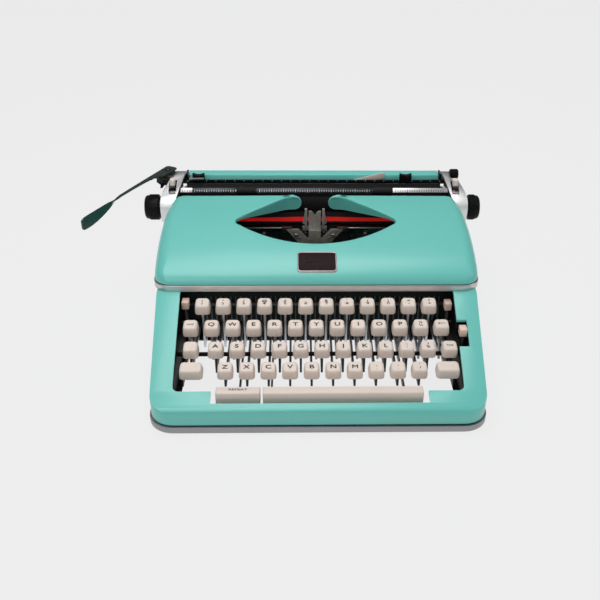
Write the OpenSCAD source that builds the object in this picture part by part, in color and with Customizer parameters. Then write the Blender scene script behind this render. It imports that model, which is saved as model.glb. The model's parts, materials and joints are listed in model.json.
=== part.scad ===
// Portable manual typewriter with a lift-up ribbon cover. Millimetres, +X right, +Y back, +Z up.
// Every piece is drawn about the middle of the keyboard, and place() then centres the whole machine.

/* [Casing] */
// Width of the lower shell at the front
shell_front_w = 292; // [288:1:304]
// Width of the lower shell at the back
shell_back_w = 308; // [304:1:324]
// Reach of the shell in front of the machine's middle
shell_front = 140; // [138:1:148]
// Reach of the shell behind the machine's middle
shell_back = 168; // [166:1:176]
// Corner radius of the shell at the front, in plan
front_corner_r = 21; // [13:1:31]
// Corner radius of the shell at the back, in plan
back_corner_r = 14; // [8:1:20]
// Height of the shell where the cover trim sits on it
shell_top = 75; // [74:0.5:79]
// Wall of the lower shell
shell_wall = 2.6; // [2:0.2:3.4]
// Height of the rubber feet
foot_h = 3; // [2:0.5:6]
// Radius of the rubber feet
foot_r = 9; // [6:0.5:11]
// Height of the silver base rim
rim_h = 6; // [4:0.5:8]
// Width of the silver base rim, inwards from the outline
rim_w = 11; // [8:1:14]
// Thickness of the bottom pan
pan_t = 1.5; // [1:0.25:2]
// Height of the trim band under the ribbon cover
trim_h = 6.2; // [4:0.2:7]
// Width of the ribbon cover at the front
cover_front_w = 304; // [300:1:308]
// Width of the ribbon cover at the back
cover_back_w = 296; // [291:1:301]
// Rise of the ribbon cover above the trim
cover_rise = 30; // [27.4:0.2:30.4]
// Wall of the ribbon cover
cover_wall = 2.2; // [1.6:0.2:3]
// Width of the blank badge plate
badge_w = 37; // [20:1:60]

/* [Keyboard] */
// Pitch of the keys along a row
key_pitch = 19; // [18.6:0.1:19.4]
// Pitch of the key rows, front to back
row_pitch = 20.6; // [20:0.1:21]
// Width of a keycap
cap_w = 14; // [12:0.5:15]
// Depth of a keycap
cap_d = 14; // [12:0.5:15]
// Height of a keycap
cap_h = 9.4; // [8:0.2:11]
// Height of the tops of the numeral row
top_row_z = 71.7; // [70:0.5:74]
// Thickness of a key lever
lever_t = 2; // [1.4:0.2:2.4]
// Depth of a key lever
lever_h = 7; // [5:0.5:8]
// Radius of the rods that carry the key levers
rod_r = 2; // [1.5:0.1:2.5]
// Length of the space bar
space_l = 139; // [120:1:142]

/* [Carriage] */
// Radius of the platen
platen_r = 16.5; // [15:0.25:17]
// Length of the platen
platen_l = 282; // [270:1:285]
// Radius of the platen knobs
knob_r = 13.5; // [11:0.5:15]
// Length of the left platen knob
left_knob_l = 18.2; // [14:0.2:24]
// Length of the right platen knob
right_knob_l = 14.8; // [12:0.2:24]
// Width of the covers at the carriage ends
end_cover_w = 16; // [14:0.5:20]
// Length of the line return lever
return_l = 149; // [120:1:160]
// Angle of the line return lever from straight forward
return_angle = 26.2; // [20:0.2:34]
// Width of the paper table
table_w = 274; // [240:1:276]
// Radius of the paper bail rollers
bail_roller_r = 3.4; // [2.6:0.2:4]

/* [Type works] */
// Number of type bars
bar_count = 44; // [40:1:46]
// Angle between neighbouring type bars
bar_step = 2.75; // [2.6:0.05:2.9]
// Radius of the arc that the type bars are hung on
segment_r = 52; // [50:1:53]
// Width of the ribbon
ribbon_w = 13; // [12:0.5:14]
// Radius of the ribbon spools
spool_r = 23; // [18:1:25]

/* [Hidden] */
$fn = 48;

mint = [0.50, 0.80, 0.74];
silver = [0.78, 0.78, 0.80];
steel = [0.62, 0.62, 0.64];
black = [0.07, 0.07, 0.08];
cream = [0.87, 0.84, 0.80];
dark = [0.16, 0.17, 0.17];

gap = 0.3;            // running clearance between bodies
pin_play = 0.3;       // radial clearance of a bore on its pin
front = -shell_front;
back = shell_back;

// Heights of the stack from the table upwards
rim_z = foot_h;
pan_z = rim_z + rim_h;
shell_z = pan_z + pan_t;
trim_z = shell_top;
cover_z = trim_z + trim_h + 0.5;
cover_top = cover_z + cover_rise;
trough_z = 64;        // shell edge that the carriage passes over
cover_front = -24;
cover_back = 112;

foot_front_y = front + 22;
foot_back_y = back - 22;

// Keyboard well
well_half = 127;
well_front = -118;
space_front = -130;
well_back = -20;
ledge_z = 30;
side_t = 2;
side_in = well_half + 0.5;

// Key rows, from the numerals to the front row
row_z_drop = [0, 10.6, 20.4, 28.4];
row_x = [-105.75, -96.25, -91.5, -82];
first_row_y = -38;
cap_tilt = 10;
fulcrum_y = 85;
lever_z = 27;
function row_y(r) = first_row_y - row_pitch*r;
function row_z(r) = top_row_z - row_z_drop[r];
function key_x(r, k) = row_x[r] + 5.5*(key_pitch - 19)*-1 + key_pitch*k;

// Space bar
space_y = -119;
space_d = 12;
space_top = 32.5;
space_h = 14;
space_pivot_y = 20;
space_pivot_z = 14.5;
repeat_x = -70;
space_x = 21;
repeat_l = 38.4;

// Carriage
platen_y = 132;
platen_z = 88.5;
shaft_r = 4;
plate_in = 143.5;     // inner face of the carriage end plates
plate_t = 3;
end_in = plate_in + plate_t;
end_out = end_in + gap + end_cover_w;
beam_z = 73;
beam_t = 3.5;
beam_front = 148;
beam_back = 163;
tongue_y = 157;
tongue_t = 5;
tongue_z = 66.6;
rail_top = beam_z - 0.5;
rail_half = side_in + side_t;
feed_r = 4;
feed_axle_r = 2;
feed_angle = 28;
feed_reach = platen_r + feed_r + 0.3;
bail_y = platen_y - 2.5;
bail_z = platen_z + sqrt(pow(platen_r + bail_roller_r + 0.3, 2) - 6.25);
bail_pivot = [149, 103.5];
bail_roller_l = 21;
bail_roller_x = 72.5;
margin_y = 154;
margin_z = 106.5;
margin_h = 4;
margin_t = 1.6;
return_pivot = [-158, 156];
return_pin_r = 2.4;
return_top = 121.6;
return_pin_z = 104;
end_top = 116.6;
return_t = 1.6;
return_tail = 9;
release_pivot = [152, 96];
release_x = end_in + 5;
paper_release_pivot = [160, 100];
pinion_r = 8;
wheel_z = 69.2 - pinion_r;

// Type works
print_z = 90;
bar_y = 98;
bar_l = 54;
wire_r = 1;
guide_y = 102;
spool_x = 95;
spool_y = 62;
spool_z = 79;
ribbon_z = 80.5;
deck_z = 74;

lever_tip_x = return_pivot[0] - (return_l - return_tail)*sin(return_angle);
centre_x = (end_out + gap + right_knob_l + lever_tip_x - return_t/2)/2;
centre_y = (back + 8 + front - 1.5)/2;

module place() {
    translate([-centre_x, -centre_y, 0]) children();
}

// Points of an arc about c
function arc(c, r, a0, a1, n = 8) = [for (i = [0:n]) let (a = a0 + (a1 - a0)*i/n) c + r*[cos(a), sin(a)]];

// Points of a cubic curve
function curve(a, b, c, d, n = 8) =
    [for (i = [0:n]) let (t = i/n, s = 1 - t) s*s*s*a + 3*s*s*t*b + 3*s*t*t*c + t*t*t*d];

function unit(v) = v/norm(v);
function turned(v) = [-v[1], v[0]];

// An outline drawn anticlockwise, with every side moved inwards by t
function inset(points, t) =
    let (n = len(points))
    [for (i = [0:n - 1])
        let (a = turned(unit(points[i] - points[(i + n - 1) % n])))
        let (b = turned(unit(points[(i + 1) % n] - points[i])))
        points[i] + t*(a + b)/(1 + a*b)];

// Plan of the shell, of the rim and of the pan
function shell_plan() =
    let (f = shell_front_w/2, b = shell_back_w/2, p = front_corner_r, q = back_corner_r)
    concat(
        arc([-f + p, front + p], p, 182, 270),
        arc([f - p, front + p], p, 270, 358),
        arc([b - q, back - q], q, 0, 90),
        arc([q - b, back - q], q, 90, 180));

// Plan of the ribbon cover and its trim; the sides bulge a little
function cover_plan() =
    let (f = cover_front_w/2, b = cover_back_w/2, p = 16)
    let (side = curve([f, cover_front + p - 0.9], [f + 2, 30], [f + 2.2, 75], [b, cover_back]))
    concat(
        [for (i = [1:len(side)]) [-side[len(side) - i][0], side[len(side) - i][1]]],
        arc([-f + p, cover_front + p], p, 186, 270),
        arc([f - p, cover_front + p], p, 270, 354),
        side);

// Rounded front of the ribbon cover, as [y, z]
function cover_nose() =
    curve([29, cover_top - 7.6], [-2, cover_top - 13], [-22, cover_top - 18], [cover_front, cover_z], 9);

// Side view of the ribbon cover, as [y, z]
function cover_side() =
    concat(
        [[cover_back, cover_z]],
        arc([cover_back - 4, cover_top - 4], 4, 0, 88, 4),
        curve([cover_back - 5, cover_top], [82, cover_top], [60, cover_top - 2], [30, cover_top - 7.4], 6),
        cover_nose());

// Front view of the ribbon cover, as [x, z]
function cover_face() =
    let (w = cover_front_w/2 + 1.6, r = 14)
    concat(
        [[-w, cover_z], [w, cover_z]],
        arc([w - r, cover_top - r], r, 0, 90),
        arc([r - w, cover_top - r], r, 90, 180));

// Side view of the lower shell, as [y, z]
function shell_side() =
    concat(
        [[front, shell_z], [back, shell_z]],
        arc([back - 5, trough_z - 5], 5, 0, 90, 4),
        [[cover_back + 0.5, trough_z], [cover_back + 0.5, shell_top], [cover_front - 4, shell_top]],
        [[well_front, ledge_z]],
        arc([front + 8, 17.5], 8, 90, 180, 5));

// Sweeps a [y, z] outline along X between x0 and x1
module along_x(points, x0, x1) {
    translate([x0, 0, 0]) rotate([90, 0, 90]) linear_extrude(x1 - x0) polygon(points);
}

// Sweeps an [x, z] outline along Y between y0 and y1
module along_y(points, y0, y1) {
    translate([0, y1, 0]) rotate([90, 0, 0]) linear_extrude(y1 - y0) polygon(points);
}

// A rod along X
module x_rod(r, x0, x1, y, z) {
    translate([x0, y, z]) rotate([0, 90, 0]) cylinder(r = r, h = x1 - x0);
}

// A rod along Y
module y_rod(r, x, y0, y1, z) {
    translate([x, y1, z]) rotate([90, 0, 0]) cylinder(r = r, h = y1 - y0);
}

module slab(x0, x1, y0, y1, z0, z1) {
    translate([x0, y0, z0]) cube([x1 - x0, y1 - y0, z1 - z0]);
}

module both_sides() {
    children();
    mirror([1, 0, 0]) children();
}

// ---- Casing ----

foot_places = [for (y = [foot_front_y, foot_back_y], s = [-1, 1]) [s*(y < 0 ? 124 : 132), y]];

// Pads of the rim that the feet are screwed to
module foot_pads() {
    for (p = foot_places) translate([p[0], p[1], rim_z]) cylinder(r = foot_r + 4, h = 2);
}

module rubber_feet() place() color(black)
    for (p = foot_places) {
        translate([p[0], p[1], 0]) cylinder(r1 = foot_r - 1, r2 = foot_r, h = 1);
        translate([p[0], p[1], 1]) cylinder(r = foot_r, h = foot_h - 1);
    }

module base_tray() place() color(silver) difference() {
    union() {
        translate([0, 0, rim_z]) linear_extrude(rim_h) polygon(inset(shell_plan(), -1.5));
    }
    difference() {
        translate([0, 0, rim_z - 1]) linear_extrude(rim_h + 2) polygon(inset(shell_plan(), rim_w));
        foot_pads();
    }
}

drum_x = -92;
drum_y = 128;
drum_z = 26;
drum_r = 22;
drum_h = 14;
bell_x = 96;
bell_y = 136;
bell_r = 17;
bell_z = 18;
bell_t = 1.4;
bell_hole_r = 2;

module bottom_pan() place() color(black) {
    difference() {
        translate([0, 0, pan_z]) linear_extrude(pan_t) polygon(inset(shell_plan(), 2));
        slab(-well_half + 4, well_half - 4, space_front + 4, -8, pan_z - 1, pan_z + pan_t + 1);
    }
    translate([drum_x, drum_y, shell_z]) cylinder(r = 7, h = drum_z - shell_z - gap);
    translate([drum_x, drum_y, shell_z]) cylinder(r = 3, h = drum_z + drum_h + 3 - shell_z);
    translate([bell_x, bell_y, shell_z]) cylinder(r = 3, h = bell_z + bell_r - bell_t - 2*gap - shell_z);
    translate([bell_x, bell_y, shell_z]) cylinder(r = bell_hole_r - pin_play, h = bell_z + bell_r + 3 - shell_z);
}

// Keyboard opening in plan, with its notch for the side lever
module well_cut(z0, z1) {
    translate([0, 0, z0]) linear_extrude(z1 - z0) polygon(concat(
        arc([-well_half + 5, well_front + 5], 5, 180, 270, 4),
        [[-93.5, well_front], [-93.5, space_front], [95.5, space_front], [95.5, well_front]],
        arc([well_half - 5, well_front + 5], 5, 270, 360, 4),
        [[well_half, -79], [well_half + 9, -79], [well_half + 9, -54], [well_half, -54]],
        [[well_half, well_back], [-well_half, well_back]]));
}

module lower_shell() place() color(mint) difference() {
    intersection() {
        translate([0, 0, shell_z]) linear_extrude(shell_top - shell_z) polygon(shell_plan());
        along_x(shell_side(), -shell_back_w, shell_back_w);
    }
    intersection() {
        translate([0, 0, shell_z - 1]) linear_extrude(shell_top) polygon(inset(shell_plan(), shell_wall));
        translate([0, 0, -shell_wall])
            along_x(concat([[front, shell_z]], [[back, shell_z]], [[back, trough_z]],
                [[cover_back, trough_z], [cover_back, shell_top], [cover_front - 4, shell_top]],
                [[well_front, ledge_z], [front, ledge_z - 5]]), -shell_back_w, shell_back_w);
        slab(-shell_back_w, shell_back_w, front + shell_wall + 1, back, 0, shell_top + 1);
    }
    well_cut(shell_z - 1, shell_top + 1);
    // open top under the ribbon cover and the carriage
    slab(-side_in - 6, side_in + 6, cover_front + 3, beam_back + 1, shell_z + 2, shell_top + 1);
    slab(-cover_back_w/2 + 5, cover_back_w/2 - 5, 20, cover_back + 2, shell_z + 2, shell_top + 1);
}

module cover_trim() place() color(silver) difference() {
    translate([0, 0, trim_z]) linear_extrude(trim_h) polygon(inset(cover_plan(), -0.8));
    translate([0, 0, trim_z - 1]) linear_extrude(trim_h + 2) polygon(concat(
        arc([-cover_front_w/2 + 16, cover_front + 16], 11, 180, 270),
        arc([cover_front_w/2 - 16, cover_front + 16], 11, 270, 360),
        [[cover_back_w/2 - 5, cover_back + 5], [5 - cover_back_w/2, cover_back + 5]]));
    slab(-cover_front_w, cover_front_w, cover_back, cover_back + 5, trim_z - 1, trim_z + trim_h + 1);
}

// Block of the ribbon cover's outer shape, moved inwards by t
module cover_block(t) {
    intersection() {
        translate([0, 0, cover_z - 1]) linear_extrude(cover_rise + 2) polygon(inset(cover_plan(), t));
        along_x(inset(cover_side(), t), -cover_front_w, cover_front_w);
        along_y(inset(cover_face(), t), cover_front - 5, cover_back + 5);
    }
}

eye_half = 78.5;
eye_corner_y = 58;
eye_front_y = 20;
tip_half = 14;

// Eye of the cover in plan: a wide lens, open to the platen between two arms
function eye_outline() =
    concat(
        curve([-eye_half, eye_corner_y], [-eye_half + 5, eye_corner_y - 10], [-40, eye_front_y], [0, eye_front_y]),
        curve([2, eye_front_y], [40, eye_front_y], [eye_half - 5, eye_corner_y - 10], [eye_half, eye_corner_y]),
        [[eye_half - 1, eye_corner_y + 3.5], [tip_half + 19, cover_back - 8.5]],
        curve([tip_half + 15, cover_back - 5], [tip_half + 11, cover_back - 2.4], [tip_half + 6, cover_back - 2],
            [tip_half, cover_back - 2], 4),
        [[tip_half, cover_back + 5], [-tip_half, cover_back + 5]],
        curve([-tip_half, cover_back - 2], [-tip_half - 6, cover_back - 2], [-tip_half - 11, cover_back - 2.4],
            [-tip_half - 15, cover_back - 5], 4),
        [[-tip_half - 19, cover_back - 8.5], [1 - eye_half, eye_corner_y + 3.5]]);

module ribbon_cover() place() color(mint) difference() {
    union() {
        difference() {
            cover_block(0);
            cover_block(cover_wall);
            slab(-cover_front_w, cover_front_w, -200, cover_back + 9, cover_z - 2, cover_z + cover_wall + 0.1);
            slab(20 - cover_back_w/2, cover_back_w/2 - 20, cover_back - 4, cover_back + 5, 0, cover_top - 15);
        }
        difference() {
            cover_block(0);
            cover_block(cover_wall);
            translate([0, 0, cover_z + cover_wall + 0.1])
                linear_extrude(cover_rise) polygon(inset(cover_plan(), -3));
            translate([0, 0, cover_z - 1]) linear_extrude(5) polygon(inset(cover_plan(), cover_wall));
            slab(-cover_front_w, cover_front_w, cover_back - 5, cover_back + 5, 0, cover_top);
        }
        // turned-down edge along the eye, deepest at the arm tips
        intersection() {
            cover_block(0);
            translate([0, 0, cover_z]) linear_extrude(cover_rise) polygon(inset(eye_outline(), -cover_wall));
            along_x([[eye_corner_y - 4, cover_top - 2.4], [eye_corner_y + 4, cover_top - 3.9],
                [cover_back, cover_top - 15.2], [cover_back, cover_top + 1], [eye_corner_y - 4, cover_top + 1]], -eye_half - 9, eye_half + 9);
        }
    }
    translate([0, 0, cover_z - 1]) linear_extrude(cover_rise + 5) polygon(eye_outline());
}

badge_back = 6;
badge_front = -17.5;

module badge_plate() place() color(silver) intersection() {
    along_x(concat(cover_nose(), [for (i = [1:len(cover_nose())]) cover_nose()[len(cover_nose()) - i] + [0, 1.2]]),
        -badge_w/2 - 1, badge_w/2 + 1);
    translate([0, 0, cover_z]) linear_extrude(cover_rise + 5) polygon(concat(
        arc([3 - badge_w/2, badge_front + 3], 3, 180, 270, 4),
        arc([badge_w/2 - 3, badge_front + 3], 3, 270, 360, 4),
        arc([badge_w/2 - 3, badge_back - 3], 3, 0, 90, 4),
        arc([3 - badge_w/2, badge_back - 3], 3, 90, 180, 4)));
}

// ---- Chassis ----

rest_in = 55;
rest_out = 58.5;
arc_half = bar_step*bar_count/2 + 2;

// Sector of a ring about the printing point, as [x, z]
function sector(r0, r1, half) =
    concat(
        arc([0, print_z], r1, -90 - half, -90 + half, 24),
        arc([0, print_z], r0, -90 + half, -90 - half, 24));

rest_lug_x = rest_in*sin(arc_half);
rest_lug_z = print_z - rest_in*cos(arc_half);

module chassis_frame() place() color(dark) difference() {
    union() {
        both_sides() along_x([[-114, shell_z], [162, shell_z], [162, rail_top - 14], [108, rail_top - 14],
            [100, deck_z - 1], [-14, deck_z - 1], [-114, shell_z + 12]], side_in, side_in + side_t);
        // spool decks
        both_sides() slab(spool_x - spool_r - 2, side_in + side_t, spool_y - spool_r, spool_y + spool_r,
            deck_z - 2, deck_z);
        both_sides() translate([spool_x, spool_y, deck_z]) cylinder(r = 5, h = spool_z - deck_z - gap);
        both_sides() translate([spool_x, spool_y, deck_z]) cylinder(r = 2.5, h = ribbon_w + 9);
        // padded rest that the type bars lie on
        along_y(sector(rest_in, rest_out, arc_half), 44, 48);
        both_sides() slab(rest_lug_x - 1, side_in + 1, 44, 48, rest_lug_z - 3, rest_lug_z + 2);
    }
    both_sides() {
        x_rod(rod_r, side_in - 1, side_in + side_t + 1, fulcrum_y, lever_z);
        x_rod(rod_r, side_in - 1, side_in + side_t + 1, space_pivot_y, space_pivot_z);
        x_rod(rod_r, side_in - 1, side_in + side_t + 1, stop_y, stop_z);
        x_rod(1.5, side_in - 1, side_in + side_t + 1, selector_y, selector_z);
    }
    x_rod(1.5, side_in - 1, side_in + side_t + 1, side_selector_y, side_selector_z);
    both_sides() slab(side_in - 1, side_in + side_t + 1, side_selector_y - 8, side_selector_y + 8, 47, 60);
}

selector_y = -28;
selector_z = 44;
side_selector_y = -62;
side_selector_z = 34;
stop_y = -67.5;
stop_z = 34;
comb_y = -9;
comb_t = 2;
slot_w = lever_t + 1.4;
lever_slots = 44;

// x of the n-th lever, counting all rows from left to right
function lever_x(n) = key_x(0, 0) + key_pitch*n/4;

module key_comb() place() color(dark) difference() {
    union() {
        slab(-side_in, side_in, comb_y, comb_y + comb_t, shell_z, 73);
        slab(-side_in, side_in, comb_y - 2.5, comb_y, 62, 66);
        for (n = [0:lever_slots + 3]) slab(lever_x(n) - 0.6, lever_x(n) + 0.6, comb_y - 1.5, comb_y, 36, 60);
    }
    for (n = [-1:lever_slots + 2])
        slab(lever_x(n) - slot_w/2, lever_x(n) + slot_w/2, comb_y - 1, comb_y + comb_t + 1, shell_z + 1, 32.5);
    for (x = [between(7), between(13), between(38)])
        slab(x - 1.2, x + 1.2, comb_y - 1, comb_y + comb_t + 1, shell_z - 1, space_pivot_z + 5);
    both_sides() slab(109.5, side_in + 1, comb_y - 1, comb_y + comb_t + 1, shell_z + 1, 36);
}

module key_rods() place() color(steel) {
    x_rod(rod_r, -side_in - side_t, side_in + side_t, fulcrum_y, lever_z);
    x_rod(rod_r, -side_in - side_t, side_in + side_t, space_pivot_y, space_pivot_z);
    x_rod(rod_r, -side_in - side_t, side_in + side_t, stop_y, stop_z);
}

// ---- Type works ----

function bar_angle(i) = (i - (bar_count - 1)/2)*bar_step;

module type_segment() place() color(steel) {
    difference() {
        union() {
            along_y(sector(segment_r - 6, segment_r + 8, arc_half), bar_y - 4, bar_y + 4);
            both_sides() slab(rest_lug_x - 2, side_in, bar_y, bar_y + 4, rest_lug_z - 3, rest_lug_z + 8);
        }
        for (i = [0:bar_count - 1]) translate([0, 0, print_z]) rotate([0, -bar_angle(i), 0])
            slab(-0.9, 0.9, bar_y - 5, bar_y + 2.2, -segment_r - 3, -segment_r + 7);
    }
    // hanging wire of the type bars
    for (i = [-1:bar_count - 1]) translate([0, bar_y, print_z]) rotate([0, -bar_angle(i) - bar_step/2, 0])
        translate([0, 0, -segment_r]) rotate([0, 90, 0]) cylinder(r = wire_r, h = 1.7, center = true);
    // web behind the bars that carries the type guide
    difference() {
        along_y(sector(20, segment_r - 5, 60), guide_y - 2, guide_y);
        slab(-99, 99, 0, 200, print_z - 12, 200);
    }
    // runner that the ribbon vibrator slides on
    slab(-6, 6, guide_y - 1, vibrator_y - gap, ribbon_z - 28, ribbon_z - 18);
}

module one_type_bar() {
    difference() {
        union() {
            slab(-0.6, 0.6, bar_y - bar_l, bar_y + 1.5, -segment_r - 1.5, -segment_r + 1.5);
            slab(-0.8, 0.8, bar_y - bar_l - 3.5, bar_y - bar_l + 0.5, -segment_r - 1.5, -segment_r + 8);
        }
        x_rod(wire_r + pin_play, -1, 1, bar_y, -segment_r);
    }
}

active_bar = bar_count/2;

module type_bars() place() color(steel)
    for (i = [0:bar_count - 1])
        if (i != active_bar)
            translate([0, 0, print_z]) rotate([0, -bar_angle(i), 0]) one_type_bar();

module active_type_bar() place() color(steel)
    translate([0, 0, print_z]) rotate([0, -bar_angle(active_bar), 0]) one_type_bar();

module type_guide() place() color(silver) difference() {
    union() {
        along_y([[-30, 78.5], [-17.5, 78.5], [-7.5, 67.5], [-6.5, 67.5], [-6.5, 77], [6.5, 77], [6.5, 67.5],
            [7.5, 67.5], [17.5, 78.5], [30, 78.5], [14, 58], [-14, 58]], guide_y - 3.6, guide_y - 2);
        along_x([[guide_y - 3.6, 70], [guide_y - 2, 70], [guide_y + 4.6, 84], [guide_y + 4.6, 96],
            [guide_y + 3, 96], [guide_y + 3, 84]], -6.5, 6.5);
    }
    along_y([[-4, 97], [0, 91], [4, 97]], guide_y, guide_y + 9);
    both_sides() y_rod(1.2, 19.5, guide_y - 5, guide_y, 71);
}

vibrator_y = guide_y + 5.2;

module ribbon_vibrator() place() color(steel) {
    both_sides() {
        // cheek that the ribbon runs behind, with a hook over its top edge
        along_y([[8, ribbon_z - 3], [13, ribbon_z + 1], [10, ribbon_z + ribbon_w + 4],
            [8, ribbon_z + ribbon_w + 4]], vibrator_y, vibrator_y + 1);
        slab(8, 10.5, vibrator_y, vibrator_y + 4.4, ribbon_z + ribbon_w + 1, ribbon_z + ribbon_w + 3);
    }
    slab(-13, 13, vibrator_y, vibrator_y + 1, ribbon_z - 8, ribbon_z - 2.5);
    slab(-4, 4, vibrator_y, vibrator_y + 1, ribbon_z - 40, ribbon_z - 8);
}

ribbon_t = 0.4;

// A straight stretch of ribbon between two points in plan
module ribbon_run(a, b) {
    d = unit(b - a);
    s = turned(d)*ribbon_t/2;
    translate([0, 0, ribbon_z]) linear_extrude(ribbon_w) polygon([a - s, b - s, b + s, a + s]);
}

ribbon_y = vibrator_y + 2.2;

// Point where a line from p touches the near side of a circle about c
function tangent(c, r, p) =
    let (a = atan2(p[1] - c[1], p[0] - c[0]) + acos(r/norm(p - c)))
    c + r*[cos(a), sin(a)];

ribbon_turn = [84, 106];

module ribbon() place() color([0.55, 0.05, 0.05]) {
    both_sides() {
        ribbon_run([-0.1, ribbon_y], [14, ribbon_y]);
        ribbon_run([14, ribbon_y], ribbon_turn);
        ribbon_run(ribbon_turn, tangent([spool_x, spool_y], spool_r - 7.5, ribbon_turn));
    }
}

module spool() {
    difference() {
        union() {
            translate([0, 0, spool_z]) cylinder(r = spool_r, h = 1);
            translate([0, 0, spool_z]) cylinder(r = spool_r - 8, h = ribbon_w + 3);
            translate([0, 0, spool_z + ribbon_w + 3]) cylinder(r = spool_r, h = 1);
        }
        translate([0, 0, spool_z - 1]) cylinder(r = 2.5 + pin_play, h = ribbon_w + 9);
        for (a = [0:60:300]) rotate([0, 0, a]) translate([spool_r - 4, 0, spool_z + ribbon_w + 2])
            cylinder(r = 2, h = 4);
    }
}

module ribbon_spool_left() place() color(dark) translate([-spool_x, spool_y, 0]) spool();

module ribbon_spool_right() place() color(dark) translate([spool_x, spool_y, 0]) spool();

// ---- Carriage drive ----

module carriage_rail() place() color(steel) difference() {
    slab(-rail_half, rail_half, beam_front + 3, beam_back, rail_top - 14, rail_top);
    slab(-rail_half - 1, rail_half + 1, tongue_y - tongue_t/2 - gap, tongue_y + tongue_t/2 + gap,
        tongue_z - gap, rail_top + 1);
    y_rod(2 + pin_play, 0, beam_front, beam_back + 1, wheel_z);
}

module mainspring_drum() place() color(steel) translate([drum_x, drum_y, drum_z]) difference() {
    union() {
        cylinder(r = drum_r, h = drum_h);
        translate([0, 0, drum_h - 1.5]) cylinder(r = drum_r + 2, h = 1.5);
        cylinder(r = drum_r + 2, h = 1.5);
    }
    translate([0, 0, -1]) cylinder(r = 3 + pin_play, h = drum_h + 2);
}

module escapement_wheel() place() color(steel) {
    difference() {
        y_rod(12, 0, beam_front - 2, beam_front - 0.5, wheel_z);
        for (a = [0:20:340]) translate([12*cos(a), beam_front - 3, wheel_z + 12*sin(a)]) rotate([-90, 0, 0])
            cylinder(r = 1.2, h = 4);
    }
    y_rod(pinion_r, 0, beam_front - 0.5, beam_front + 2.5, wheel_z);
    y_rod(2, 0, beam_front + 2.5, beam_back, wheel_z);
}

module margin_bell() place() color(silver) translate([bell_x, bell_y, bell_z]) difference() {
    sphere(r = bell_r);
    sphere(r = bell_r - bell_t);
    translate([0, 0, -2*bell_r]) cylinder(r = bell_r + 1, h = 2*bell_r);
    translate([0, 0, bell_r - 4]) cylinder(r = bell_hole_r, h = 9);
}

// ---- Carriage ----

function feed_y(side) = platen_y + side*feed_reach*sin(feed_angle);
feed_z = platen_z - feed_reach*cos(feed_angle);

module carriage_frame() place() color(dark) {
    difference() {
        both_sides() along_x([[117, 66], [beam_front + 2.5, 66], [beam_front + 2.5, beam_z], [162, beam_z],
            [162, 112], [152, 112], [126, 102.6], [117, 97.5]], plate_in, end_in);
        x_rod(shaft_r + pin_play, -end_in - 1, end_in + 1, platen_y, platen_z);
        x_rod(1.5 + pin_play, -end_in - 1, end_in + 1, release_pivot[0], release_pivot[1]);
        x_rod(1.5 + pin_play, -end_in - 1, end_in + 1, bail_pivot[0], bail_pivot[1]);
        for (s = [-1, 1]) x_rod(feed_axle_r, -end_in - 1, end_in + 1, feed_y(s), feed_z);
        x_rod(1.5 + pin_play, 0, end_in + 1, paper_release_pivot[0], paper_release_pivot[1]);
    }
    slab(-plate_in, plate_in, beam_front, beam_back, beam_z, beam_z + beam_t);
    slab(-plate_in, plate_in, tongue_y - tongue_t/2, tongue_y + tongue_t/2, tongue_z, beam_z);
    slab(-plate_in, plate_in, beam_front, beam_front + 2.5, wheel_z + pinion_r + gap, beam_z);
}

// Side view of a carriage end cover, as [y, z]
function end_side() =
    concat(
        [[125, 73], [167, 73], [168, 75]],
        arc([163, end_top - 5], 5, 0, 80, 4),
        [[156, end_top], [124, 104.5]],
        curve([121, 103.2], [115, 100], [113.5, 97], [113.5, 91], 4),
        [[116, 80]]);

// Plan of an end cover from x0 outwards: it leans inwards to the back, over the end plate
module end_plan(x0) {
    translate([0, 0, 60]) linear_extrude(70) intersection() {
        polygon([[end_in + gap, 110], [end_out, 110], [end_out, 122], [end_out - 1.5, 131], [end_out - 5.6, 143.5],
            [end_out - 10.8, 162], [end_out - 12.2, 170], [end_in - 8.1, 170], [end_in - 7.9, 163],
            [end_in + gap, 121]]);
        translate([x0, 100]) square([40, 80]);
    }
}

module end_cover() {
    difference() {
        union() {
            intersection() {
                along_x(end_side(), end_in + gap, end_out);
                end_plan(end_in + gap);
            }
            intersection() {
                difference() {
                    along_x(end_side(), end_in - 10, end_in + gap + 1);
                    along_x(inset(end_side(), 2), end_in - 11, end_in + gap + 2);
                }
                end_plan(end_in - 10);
                slab(end_in - 10, end_in + gap + 1, 120, 170, 101, 130);
            }
        }
        intersection() {
            along_x(inset(end_side(), 2), end_in, end_out);
            translate([-2, 0, 0]) end_plan(end_in);
        }
        x_rod(shaft_r + pin_play, end_in, end_out + 1, platen_y, platen_z);
        slab(release_x - 4, release_x + 4, 131, 147, 104, 118);
    }
}

module end_cover_left() place() color(silver) {
    difference() {
        union() {
            mirror([1, 0, 0]) end_cover();
            translate([return_pivot[0], return_pivot[1], return_pin_z]) cylinder(r = 4.6, h = 12);
            slab(return_pivot[0] - 2, 2.5 - end_out + 10, return_pivot[1] - 4.5, return_pivot[1] + 4.5,
                return_pin_z, return_pin_z + 8);
        }
        translate([return_pivot[0], return_pivot[1], return_pin_z - 1])
            cylinder(r = return_pin_r + pin_play, h = 20);
    }
}

module end_cover_right() place() color(silver) difference() {
    end_cover();
    slab(release_x - 2.5, end_out + 1, 150, 170, 94, 120);
}

module platen() place() color(black) {
    x_rod(platen_r, -platen_l/2, platen_l/2, platen_y, platen_z);
    x_rod(shaft_r, -end_out - gap - left_knob_l + 4, end_out + gap + right_knob_l - 4, platen_y, platen_z);
}

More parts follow.
